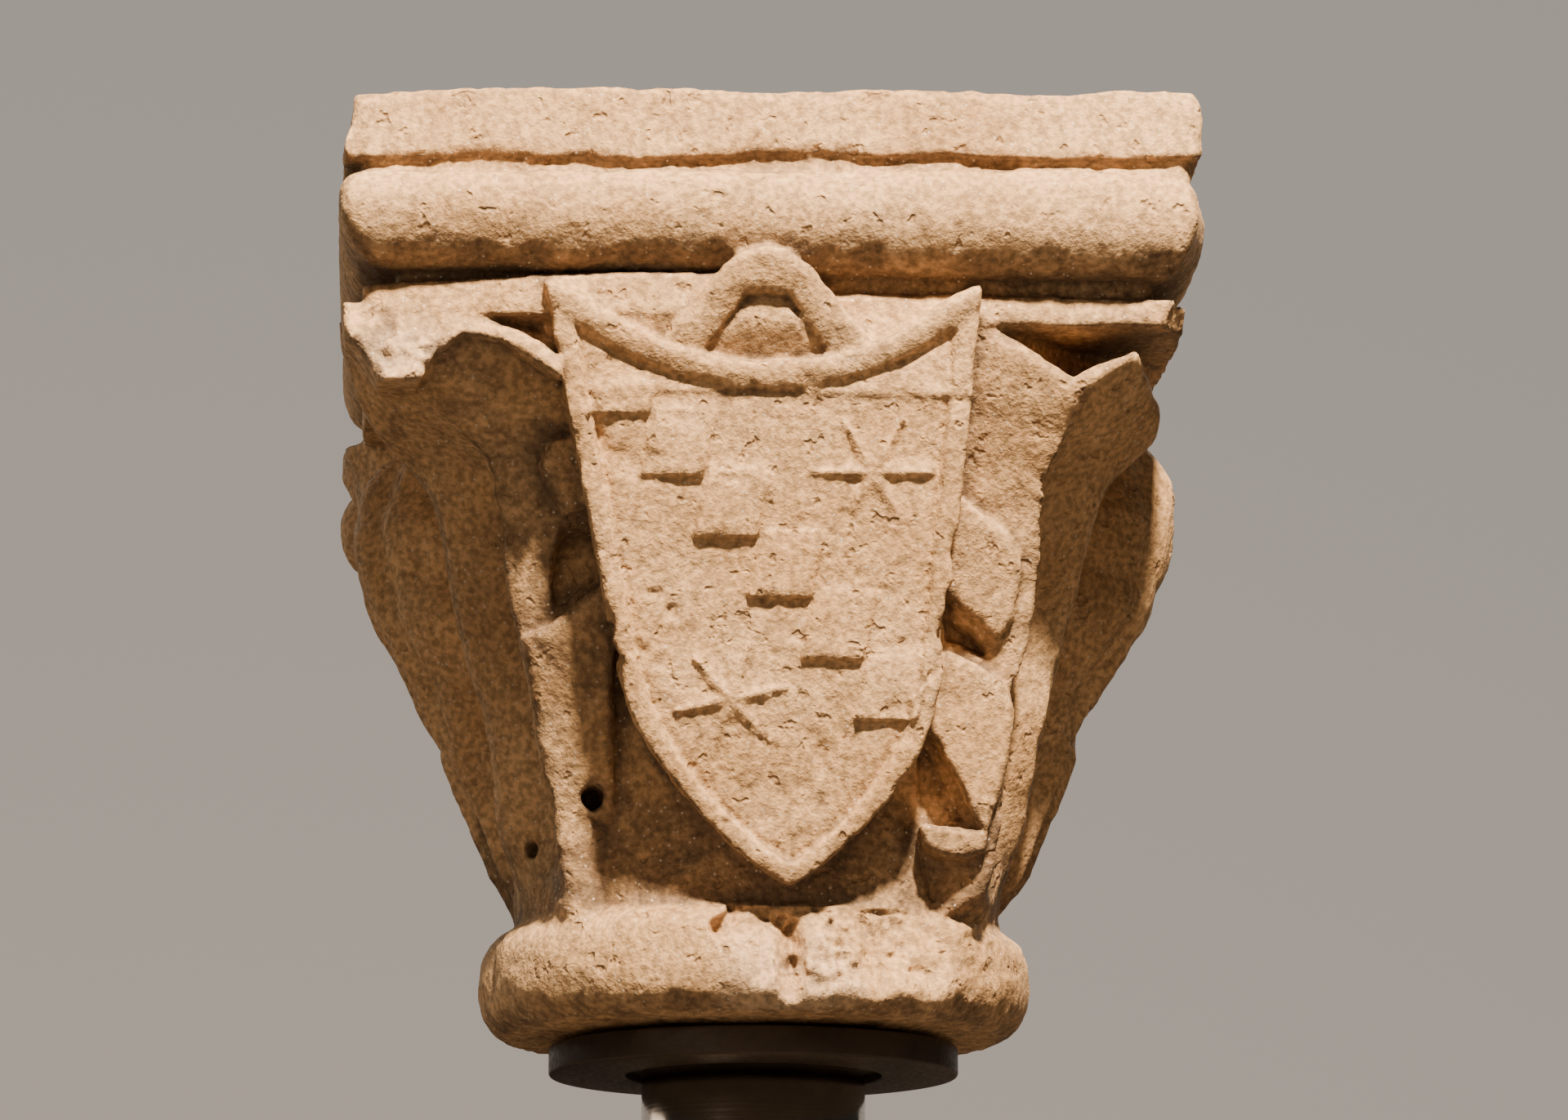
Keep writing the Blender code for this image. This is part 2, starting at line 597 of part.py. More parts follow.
def make_capital(material):
    """Unite all that is carved from the block and knock off what is broken."""
    ring = make_neck_ring()
    combine(ring, "broken off the ring", [make_ring_break()], "DIFFERENCE")
    capital = add_object("marble_capital", loft([bell_ring(share) for share in (0.1, 0.9)]), material)
    carved = [make_bell(), ring, make_abacus()]
    carved.append(make_corner_leaf("leaf_front_left", -1, -1, LEAF_CURL_REACH))
    carved.append(make_corner_leaf("leaf_front_right", 1, -1, LEAF_NOTCHED_REACH))
    carved.append(make_corner_leaf("leaf_back_left", -1, 1, LEAF_CURL_REACH))
    carved.append(make_corner_leaf("leaf_back_right", 1, 1, LEAF_CURL_REACH))
    carved.append(make_side_leaf("side_leaf_left", -1, SIDE_LEAF_LEFT_REACH))
    carved.append(make_side_leaf("side_leaf_right", 1, SIDE_LEAF_RIGHT_REACH))
    combine(capital, "bell, mouldings and leaves", carved, "UNION")
    beside = 0.93 * SHIELD_HALF_WIDTH
    pockets = [
        make_notch(1, -1),
        make_pocket("pocket_left_upper", -beside, 0.0190, 0.500, 0.155, 0.012),
        make_pocket("pocket_right_upper", beside, 0.0190, 0.402, 0.170, 0.012),
        make_pocket("pocket_right_lower", beside - 0.0030, 0.0160, 0.129, 0.124, 0.010),
    ]
    combine(capital, "pockets between the lobes", pockets, "DIFFERENCE")
    raised = [make_shield("shield_front", -1), make_shield("shield_back", 1), make_strap()]
    combine(capital, "shields and strap", raised, "UNION")
    charges = [make_block(index) for index in range(BLOCK_COUNT)]
    charges.append(make_star("upper_star", UPPER_STAR, 0.5))
    charges.append(make_star("lower_star", LOWER_STAR, 0.35))
    combine(capital, "blocks and stars", charges, "UNION")
    left, right = -SLAB_HALF_WIDTH - 0.006, SLAB_HALF_WIDTH + 0.004
    front = -SLAB_HALF_WIDTH - 0.004
    top, roll = ABACUS_TOP + 0.004, 0.5 * (HOLLOW_TOP + ROLL_TOP)
    leaf_tip = (-LEAF_CURL_REACH - 0.004, -LEAF_CURL_REACH - 0.004, BELL_TOP - 0.010)
    fillet_end = (FILLET_HALF_WIDTH + 0.003, -FILLET_HALF_DEPTH, 0.5 * (BELL_TOP + FILLET_TOP))
    roll_left = (-ROLL_HALF_WIDTH, -ROLL_HALF_WIDTH, roll)
    roll_right = (ROLL_HALF_WIDTH, -ROLL_HALF_WIDTH, roll)
    top_left, top_right = (left, front, top), (right, front, top)
    chips = [
        make_rough_block("chip_top_left", (0.022, 0.022, 0.022), top_left, (0.6, 0.6, 0.8), 0.003, 1.0),
        make_rough_block("chip_top_right", (0.030, 0.030, 0.026), top_right, (0.6, 0.5, 0.8), 0.003, 4.0),
        make_rough_block("chip_roll_left", (0.012, 0.030, 0.024), roll_left, (0.2, 0.1, 0.8), 0.003, 6.0),
        make_rough_block("chip_roll_right", (0.016, 0.034, 0.030), roll_right, (0.1, 0.2, -0.8), 0.003, 9.0),
        make_rough_block("chip_leaf_tip", (0.018, 0.040, 0.024), leaf_tip, (0.0, 0.5, 0.8), 0.004, 12.0),
        make_rough_block("chip_fillet_end", (0.018, 0.024, 0.030), fillet_end, (0.2, 0.1, 0.5), 0.003, 15.0),
    ]
    combine(capital, "knocked off the corners", chips, "DIFFERENCE")
    return capital


def make_disc(material):
    """Turn the plate under the capital, with a shallow socket for the tube."""
    top = BED_HEIGHT - CONTACT_GAP
    low = DISC_BASE
    socket_radius = TUBE_RADIUS + DISC_SOCKET_MARGIN
    profile = [
        (0.0, low + DISC_SOCKET_DEPTH),
        (socket_radius, low + DISC_SOCKET_DEPTH),
        (socket_radius, low),
        (DISC_RADIUS - DISC_EDGE_BEVEL, low),
        (DISC_RADIUS, low + DISC_EDGE_BEVEL),
        (DISC_RADIUS, top - DISC_EDGE_BEVEL),
        (DISC_RADIUS - DISC_EDGE_BEVEL, top),
        (0.0, top),
    ]
    piece = add_object("support_disc", turned(profile), material)
    smooth(piece)
    return piece


def make_tube(material):
    """Turn the tube that stands on the foot and ends in the plate's socket."""
    low = TUBE_BASE + CONTACT_GAP
    high = DISC_BASE + DISC_SOCKET_DEPTH - CONTACT_GAP
    profile = [(0.0, low), (TUBE_RADIUS, low), (TUBE_RADIUS, high), (0.0, high)]
    piece = add_object("post_tube", turned(profile), material)
    smooth(piece)
    return piece


def make_foot(material):
    """Turn the round foot."""
    profile = [
        (0.0, 0.0),
        (FOOT_RADIUS, 0.0),
        (FOOT_RADIUS, FOOT_HEIGHT - FOOT_EDGE_BEVEL),
        (FOOT_RADIUS - FOOT_EDGE_BEVEL, FOOT_HEIGHT),
        (0.0, FOOT_HEIGHT),
    ]
    piece = add_object("foot_plate", turned(profile), material)
    smooth(piece)
    return piece


def main():
    """Build every piece in the scene."""
    for item in list(bpy.data.objects):
        bpy.data.objects.remove(item, do_unlink=True)
    make_capital(make_material("warm cream marble", (0.62, 0.48, 0.33), 0.55, 0.0))
    make_disc(make_material("worn dark brown paint", (0.035, 0.026, 0.020), 0.45, 0.0))
    make_tube(make_material("polished steel", (0.62, 0.60, 0.57), 0.18, 1.0))
    make_foot(make_material("dark brown paint", (0.040, 0.030, 0.024), 0.50, 0.0))


main()
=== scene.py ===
"""A worn marble capital with a carved shield, on a plate, a tube and a round foot.

The carving is worked out in millimetres: x runs to the right of the shield's face, y runs away from the
viewer, and h is the height above the capital's bed. Every carved form is a class that can say how far any
point lies from its surface, and the stone is made by following the surface where that distance is zero.
"""

from __future__ import annotations

import logging
from dataclasses import dataclass, field
from enum import Enum
from math import cos, hypot, pi, radians, sin, tau

import bmesh
import bpy
import numpy as np
from mathutils import Matrix, Vector


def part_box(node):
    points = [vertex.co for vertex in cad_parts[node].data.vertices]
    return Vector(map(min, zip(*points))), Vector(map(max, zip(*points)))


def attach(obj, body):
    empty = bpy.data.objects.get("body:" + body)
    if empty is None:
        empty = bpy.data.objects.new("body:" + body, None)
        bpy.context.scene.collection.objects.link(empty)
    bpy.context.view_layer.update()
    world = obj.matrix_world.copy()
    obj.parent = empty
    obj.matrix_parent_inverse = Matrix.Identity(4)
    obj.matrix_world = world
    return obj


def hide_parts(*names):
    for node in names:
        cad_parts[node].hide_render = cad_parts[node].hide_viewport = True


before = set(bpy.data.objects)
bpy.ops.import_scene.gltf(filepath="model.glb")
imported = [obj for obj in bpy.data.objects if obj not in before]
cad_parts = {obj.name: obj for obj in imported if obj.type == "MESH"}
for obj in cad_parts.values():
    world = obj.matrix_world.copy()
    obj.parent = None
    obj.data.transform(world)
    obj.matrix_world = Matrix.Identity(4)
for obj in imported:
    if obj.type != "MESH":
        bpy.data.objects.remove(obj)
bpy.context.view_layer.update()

LOG = logging.getLogger("capital")
MILLIMETRE = 0.001
NUMBER_SOCKET = "NodeSocketFloat"
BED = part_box("marble_capital")[0].z
Array = np.ndarray
Material, NodeTree = bpy.types.Material, bpy.types.NodeTree
Piece, Socket = bpy.types.Object, bpy.types.NodeSocket


# Small helpers of the distance fields


def ease(low: float, high: float, value: Array) -> Array:
    """Rise smoothly from 0 to 1 while the value goes from low to high.

    Args:
        low: value at which the rise starts.
        high: value at which the rise ends.
        value: what is measured.

    Returns:
        The share of the rise, from 0 to 1.
    """
    share = np.clip((value - low) / (high - low), 0.0, 1.0)
    return share * share * (3.0 - 2.0 * share)


def soft_min(first: Array, second: Array, blend: float) -> Array:
    """Unite two forms with a small hollow where they meet.

    Args:
        first: distance to the first form.
        second: distance to the second form.
        blend: how far the hollow reaches, in millimetres.

    Returns:
        The distance to both.
    """
    share = np.clip(0.5 + 0.5 * (second - first) / blend, 0.0, 1.0)
    return second + (first - second) * share - blend * share * (1.0 - share)


def soft_max(first: Array, second: Array, blend: float) -> Array:
    """Keep what two forms share, with a worn edge between them.

    Args:
        first: distance to the first form.
        second: distance to the second form.
        blend: how far the wear reaches, in millimetres.

    Returns:
        The distance to what is shared.
    """
    return -soft_min(-first, -second, blend)


def stations(value: Array, *pairs: tuple[float, float]) -> Array:
    """Read a size that changes from place to place.

    Args:
        value: the places to read at.
        pairs: (place, size) in rising order of place.

    Returns:
        The size at each place.
    """
    places, sizes = zip(*pairs)
    return np.interp(value, places, sizes).astype(np.float32)


class Roughness:
    """Seeded lattice noise for worn and broken stone."""

    def __init__(self, seed: int) -> None:
        """Fill the lattice.

        Args:
            seed: the lattice's seed.
        """
        self.size = 32
        rng = np.random.default_rng(seed)
        self.table = rng.uniform(-1.0, 1.0, (self.size,) * 3).astype(np.float32).ravel()

    def at(self, cloud: Cloud, wavelength: float, shift: float = 0.0) -> Array:
        """Read smooth noise between -1 and 1.

        Args:
            cloud: the points to read at.
            wavelength: size of the unevenness, in millimetres.
            shift: moves the noise, so that two reads differ.

        Returns:
            One value for each point.
        """
        whole, parts = [], []
        for axis, values in enumerate((cloud.x, cloud.y, cloud.h)):
            scaled = values / wavelength + shift + 7.3 * axis
            floor = np.floor(scaled)
            part = scaled - floor
            whole.append(floor.astype(np.int32))
            parts.append((part * part * (3.0 - 2.0 * part)).astype(np.float32))
        mask, size = self.size - 1, self.size
        near = [index & mask for index in whole]
        far = [(index + 1) & mask for index in whole]
        rows = [near[0] * size * size, far[0] * size * size]
        lines = [near[1] * size, far[1] * size]
        layers = []
        for layer in (near[2], far[2]):
            sides = []
            for line in lines:
                base = line + layer
                start, end = self.table[rows[0] + base], self.table[rows[1] + base]
                sides.append(start + (end - start) * parts[0])
            layers.append(sides[0] + (sides[1] - sides[0]) * parts[1])
        return layers[0] + (layers[1] - layers[0]) * parts[2]


@dataclass
class Cloud:
    """Points in millimetres, with the margin within which a form's distance has to be right."""

    x: Array
    y: Array
    h: Array
    margin: float = 20.0

    def near(self, low: tuple[float, float, float], high: tuple[float, float, float]) -> Array:
        """Say which points lie in a box or within the margin of it.

        Args:
            low: lowest corner of the box.
            high: highest corner of the box.

        Returns:
            True for each point that lies there.
        """
        mask = (self.x > low[0] - self.margin) & (self.x < high[0] + self.margin)
        mask &= (self.y > low[1] - self.margin) & (self.y < high[1] + self.margin)
        return mask & (self.h > low[2] - self.margin) & (self.h < high[2] + self.margin)

    def take(self, mask: Array) -> Cloud:
        """Return only the points that the mask names."""
        return Cloud(self.x[mask], self.y[mask], self.h[mask], self.margin)

    def away(self, centre: tuple[float, float, float]) -> list[Array]:
        """Return how far the points lie from a centre along each axis."""
        return [values - place for values, place in zip((self.x, self.y, self.h), centre)]

    def nearness(self, centre: tuple[float, float, float], sizes: tuple[float, float, float]) -> Array:
        """Return 1 at a centre, fading out softly over the sizes."""
        return np.exp(-sum((part / size) ** 2 for part, size in zip(self.away(centre), sizes)))

    @classmethod
    def of(cls, rows: Array, margin: float) -> Cloud:
        """Make a cloud of rows of x, y and h."""
        return cls(*[rows[:, axis].astype(np.float32) for axis in range(3)], margin=margin)


class Form:
    """A carved form that fills part of the stone."""

    low = (-200.0, -200.0, -20.0)
    high = (200.0, 200.0, 340.0)

    def enclose(self, centre: tuple[float, float, float], sizes: tuple[float, float, float]) -> None:
        """Set the form's box to a centre and how far the form reaches along each axis."""
        self.low = tuple(place - size for place, size in zip(centre, sizes))
        self.high = tuple(place + size for place, size in zip(centre, sizes))

    def shape(self, cloud: Cloud) -> Array:
        """Return the distance of each point, less than zero inside."""
        raise NotImplementedError

    def distance(self, cloud: Cloud) -> Array:
        """Return the distance of each point, worked out only near the form.

        Args:
            cloud: the points.

        Returns:
            Distances in millimetres, never more than the cloud's margin away from the form's box.
        """
        mask = cloud.near(self.low, self.high)
        result = np.full(cloud.x.shape, cloud.margin, np.float32)
        if mask.any():
            result[mask] = self.shape(cloud.take(mask))
        return result


def polyline_distance(across: Array, up: Array, points: list[tuple[float, float]]) -> Array:
    """Measure how far points in a plane lie from a line of straight runs.

    Args:
        across: first coordinate of the points.
        up: second coordinate of the points.
        points: the line's corners.

    Returns:
        The distance of each point.
    """
    best = np.full(across.shape, 1e9, np.float32)
    for (ax, ay), (bx, by) in zip(points, points[1:]):
        run_x, run_y = bx - ax, by - ay
        length = (run_x * run_x + run_y * run_y) or 1.0
        share = np.clip(((across - ax) * run_x + (up - ay) * run_y) / length, 0.0, 1.0)
        off_x, off_y = across - ax - share * run_x, up - ay - share * run_y
        best = np.minimum(best, off_x * off_x + off_y * off_y)
    return np.sqrt(best)


def outline_distance(across: Array, up: Array, points: list[tuple[float, float]]) -> Array:
    """Measure how far points lie from a closed outline, less than zero inside.

    Args:
        across: first coordinate of the points.
        up: second coordinate of the points.
        points: the outline's corners in order.

    Returns:
        The signed distance of each point.
    """
    closed = points + points[:1]
    inside = np.zeros(across.shape, bool)
    for (ax, ay), (bx, by) in zip(closed, closed[1:]):
        if ay == by:
            continue
        crosses = (up >= min(ay, by)) & (up < max(ay, by))
        inside ^= crosses & (across < ax + (up - ay) * (bx - ax) / (by - ay))
    away = polyline_distance(across, up, closed)
    return np.where(inside, -away, away)


# The carved forms


@dataclass
class Bell(Form):
    """The capital's core, round at the neck and squarer above."""

    low_h: float = 36.0
    top_h: float = 244.0
    height: float = 194.0
    base_h: float = 42.0
    neck: float = 86.0
    top: float = 133.0
    neck_power: float = 2.4
    top_power: float = 3.3

    def __post_init__(self) -> None:
        """Set the box that holds the bell."""
        self.low, self.high = (-self.top, -self.top, self.low_h), (self.top, self.top, self.top_h)

    def half_width(self, h: Array) -> Array:
        """Return the half width at each height."""
        share = np.clip((h - self.base_h) / self.height, 0.0, 1.1)
        return (self.neck + (self.top - self.neck) * share**1.6).astype(np.float32)

    def squareness(self, h: Array) -> Array:
        """Return the power of the bell's outline at each height, more where it is squarer."""
        share = np.clip((h - self.base_h) / self.height, 0.0, 1.0)
        return self.neck_power + (self.top_power - self.neck_power) * share * share

    def shape(self, cloud: Cloud) -> Array:
        """Return the distance to a rounded square that grows with height.

        Args:
            cloud: the points.

        Returns:
            The distance of each point, less than zero inside.
        """
        power = self.squareness(cloud.h)
        across, out = np.abs(cloud.x) + 1e-3, np.abs(cloud.y) + 1e-3
        size = np.maximum(across, out)
        spread = size * ((across / size) ** power + (out / size) ** power) ** (1.0 / power)
        side = 0.9 * (spread - self.half_width(cloud.h))
        return np.maximum(side, np.maximum(self.low_h - cloud.h, cloud.h - self.top_h))


@dataclass
class Abacus(Form):
    """The square moulded slab: a fillet, a hollow, a broad roll, a groove and a plain slab."""

    fillet_low: float = 235.0
    fillet_top: float = 246.8
    fillet_width: float = 143.0
    fillet_depth: float = 134.5
    hollow_depth: float = 131.5
    roll_low: float = 251.2
    roll_top: float = 289.4
    roll_width: float = 151.6
    roll_swell: float = 17.0
    groove_width: float = 143.5
    slab_low: float = 291.2
    slab_top: float = 316.4
    slab_width: float = 146.8
    wear: float = 3.2
    centre_x: float = -4.0
    panel_half: float = 66.0
    panel_middle: float = 228.0
    panel_back: float = 118.0
    panel_front: float = 134.4
    front_y: float = -60.0
    rough: Roughness = field(default_factory=lambda: Roughness(67))

    def __post_init__(self) -> None:
        """Set the box that holds the abacus."""
        self.low = (-self.roll_width, -self.roll_width, self.fillet_low - 25.0)
        self.high = (self.roll_width, self.roll_width, self.slab_top)

    def tilted(self, cloud: Cloud) -> Array:
        """Return heights as they were before the slab's front wore down to the left."""
        drop = np.clip(1.2 - 0.022 * cloud.x, 0.0, 4.6) * ease(120.0, -140.0, cloud.y)
        return cloud.h + drop * ease(262.0, 292.0, cloud.h)

    def shape(self, cloud: Cloud) -> Array:
        """Return the distance to the mouldings, which run round the square.

        Args:
            cloud: the points.

        Returns:
            The distance of each point, less than zero inside.
        """
        h, reach = self.tilted(cloud), soft_max(np.abs(cloud.x), np.abs(cloud.y), 5.0)
        groove = np.abs(h - 0.5 * (self.roll_top + self.slab_low)) - 8.0
        core = np.maximum(reach - self.groove_width, groove)
        upper = np.minimum(np.minimum(self.slab(cloud, h, reach), core), self.roll(cloud, h, reach))
        hollow = np.abs(h - 0.5 * (self.fillet_top + self.roll_low)) - 10.0
        hollow = np.maximum(reach - self.hollow_depth, hollow)
        lower = np.minimum(self.fillet(cloud, h), self.panel(cloud, h))
        return np.minimum(upper, soft_min(hollow, lower, 2.0))

    def slab(self, cloud: Cloud, h: Array, reach: Array) -> Array:
        """Return the distance to the top slab, whose edge is worn unevenly.

        Args:
            cloud: the points.
            h: their heights before the wear.
            reach: how far out they lie on the rounded square.

        Returns:
            The distance of each point.
        """
        front_left = (cloud.x < 0) & (cloud.y < self.front_y)
        flare = 3.5 * ease(312.0, 294.0, h) * front_left * (np.abs(cloud.x) > np.abs(cloud.y))
        edge = self.wear + 4.5 * self.rough.at(cloud, 21.0, 0.3) + 1.5 * self.rough.at(cloud, 8.0, 2.3)
        uneven = 0.8 * self.rough.at(cloud, 30.0, 5.1)
        middle, half = 0.5 * (self.slab_low + self.slab_top), 0.5 * (self.slab_top - self.slab_low)
        level = np.abs(h + uneven - middle) - half
        return soft_max(reach - self.slab_width - flare, level, np.maximum(edge, 0.8))

    def roll(self, cloud: Cloud, h: Array, reach: Array) -> Array:
        """Return the distance to the broad roll, worn at its right front corner.

        Args:
            cloud: the points.
            h: their heights before the wear.
            reach: how far out they lie on the rounded square.

        Returns:
            The distance of each point.
        """
        across, out = np.abs(cloud.x), np.abs(cloud.y)
        middle = 0.5 * (self.roll_low + self.roll_top) + 4.0
        below = h < middle
        half = np.where(below, middle - self.roll_low, self.roll_top - middle)
        front_right = (cloud.x > 0) & (cloud.y < self.front_y)
        worn = 6.0 * front_right * ease(120.0, 150.0, across) * ease(40.0, 0.0, across - out)
        ahead = np.maximum(reach + worn - (self.roll_width - self.roll_swell), 0.0) / self.roll_swell
        level = np.abs(h - middle) / half
        power = np.where(below, 1.9, 2.5)
        bulge = np.power(ahead**power + level**power + 1e-9, 1.0 / power)
        return np.where(ahead > 0, (bulge - 1.0) * 0.9 * self.roll_swell, np.abs(h - middle) - half)

    def ahead(self, cloud: Cloud) -> Array:
        """Return how much further out the fillet stands in front, left of the strap."""
        front = cloud.y < self.front_y
        return stations(cloud.x, (-143, 0), (-110, 2), (-60, 5.5), (-18, 6), (12, 0)) * front

    def fillet(self, cloud: Cloud, h: Array) -> Array:
        """Return the distance to the fillet, whose top rises in front, left of the strap.

        Args:
            cloud: the points.
            h: their heights.

        Returns:
            The distance of each point, less than zero inside.
        """
        across, out = np.abs(cloud.x), np.abs(cloud.y)
        raised = stations(cloud.x, (-143, 0), (-55, 4.6), (-20, 4.8), (14, -1.0))
        top = self.fillet_top + raised * (cloud.y < self.front_y)
        side = soft_max(across - self.fillet_width, out - self.fillet_depth - self.ahead(cloud), 4.0)
        level = np.abs(h - 0.5 * (self.fillet_low + top)) - 0.5 * (top - self.fillet_low)
        return soft_max(side, level, 1.6)

    def panel(self, cloud: Cloud, h: Array) -> Array:
        """Return the distance to the panel behind each shield, which stands out inside the strap's arch.

        Args:
            cloud: the points.
            h: their heights.

        Returns:
            The distance of each point, less than zero inside.
        """
        out, beside = np.abs(cloud.y), np.abs(cloud.x - self.centre_x)
        inside = 7.0 * ease(220.0, 236.0, h) * ease(26.0, 14.0, beside + 0.6 * (h - 225.0)) * (cloud.y < 0)
        front = self.panel_front + np.maximum(inside, self.ahead(cloud) * ease(222.0, 240.0, h))
        panel = np.maximum(beside - self.panel_half, np.maximum(out - front, self.panel_back - out))
        return np.maximum(panel, np.abs(h - self.panel_middle) - 18.0)


@dataclass
class NeckRing(Form):
    """The ring round the neck, with its front knocked away."""

    radius: float = 99.0
    core: float = 79.7
    top: float = 42.0
    bed_radius: float = 60.0
    bed_edge: float = 75.0
    bed_lift: float = 2.2
    break_start: float = -0.04
    break_end: float = 1.40
    break_depth: float = 8.5
    rough: Roughness = field(default_factory=lambda: Roughness(11))

    def __post_init__(self) -> None:
        """Set the box that holds the ring."""
        self.low, self.high = (-self.radius, -self.radius, 0.0), (self.radius, self.radius, self.top)

    def shape(self, cloud: Cloud) -> Array:
        """Return the distance to the ring, less what is broken from it.

        Args:
            cloud: the points.

        Returns:
            The distance of each point, less than zero inside.
        """
        radial = np.hypot(cloud.x, cloud.y)
        middle, half = 0.5 * (self.top + self.bed_lift) - 1.0, 0.5 * (self.top - self.bed_lift)
        swell = self.radius - self.core
        ahead = np.maximum(radial - self.core, 0.0) / swell
        level = (cloud.h - middle) / half
        bead = (np.power(ahead**2.6 + np.abs(level) ** 2.6 + 1e-9, 1.0 / 2.6) - 1.0) * 0.8 * swell
        flat = np.where(radial < self.core, np.abs(cloud.h - middle) - half, 1e3)
        bead = np.where(radial < self.core, flat, bead)
        lift = self.bed_lift * ease(self.bed_radius, self.bed_edge, radial)
        bead = np.maximum(bead, lift - cloud.h)
        return np.maximum(bead, self.broken(cloud, radial))

    def broken(self, cloud: Cloud, radial: Array) -> Array:
        """Return the distance to the rough face that the break left.

        Args:
            cloud: the points.
            radial: their distance from the axis.

        Returns:
            A distance that is more than zero in the part that is gone.
        """
        angle = np.arctan2(cloud.x, -cloud.y)
        wander = 0.10 * self.rough.at(cloud, 9.0, 3.1)
        start = self.break_start - 0.26 * cloud.h / self.top
        gone = ease(0.0, 0.10, angle + wander - start) * ease(0.0, 0.45, self.break_end - angle)
        gone = gone * (1.0 - 0.62 * ease(0.45, 0.80, angle))
        depth = self.break_depth * (0.10 + 1.35 * ease(-6.0, self.top + 8.0, cloud.h))
        rough = 2.6 * self.rough.at(cloud, 17.0, 0.4) + 2.3 * self.rough.at(cloud, 7.5, 1.9)
        rough += 2.0 * np.abs(self.rough.at(cloud, 4.2, 5.2)) + 1.1 * self.rough.at(cloud, 2.6, 2.8)
        notch = 5.0 * ease(7.0, 0.0, np.abs(cloud.x - 7.0)) * ease(38.0, 30.0, cloud.h)
        limit = self.radius + 4.0 - gone * (depth + 3.5 + rough + notch)
        limit = limit + 1.3 * np.maximum(cloud.h - 38.0, 0.0)
        return 0.75 * (radial - limit)


class Leaf(Enum):
    """How a corner leaf has come down to us."""

    BROKEN_TIP = "curled over, its tip knocked off"
    NOTCHED = "cut back to a notch, with a hollow behind its lip"
    WHOLE = "curled over and whole"


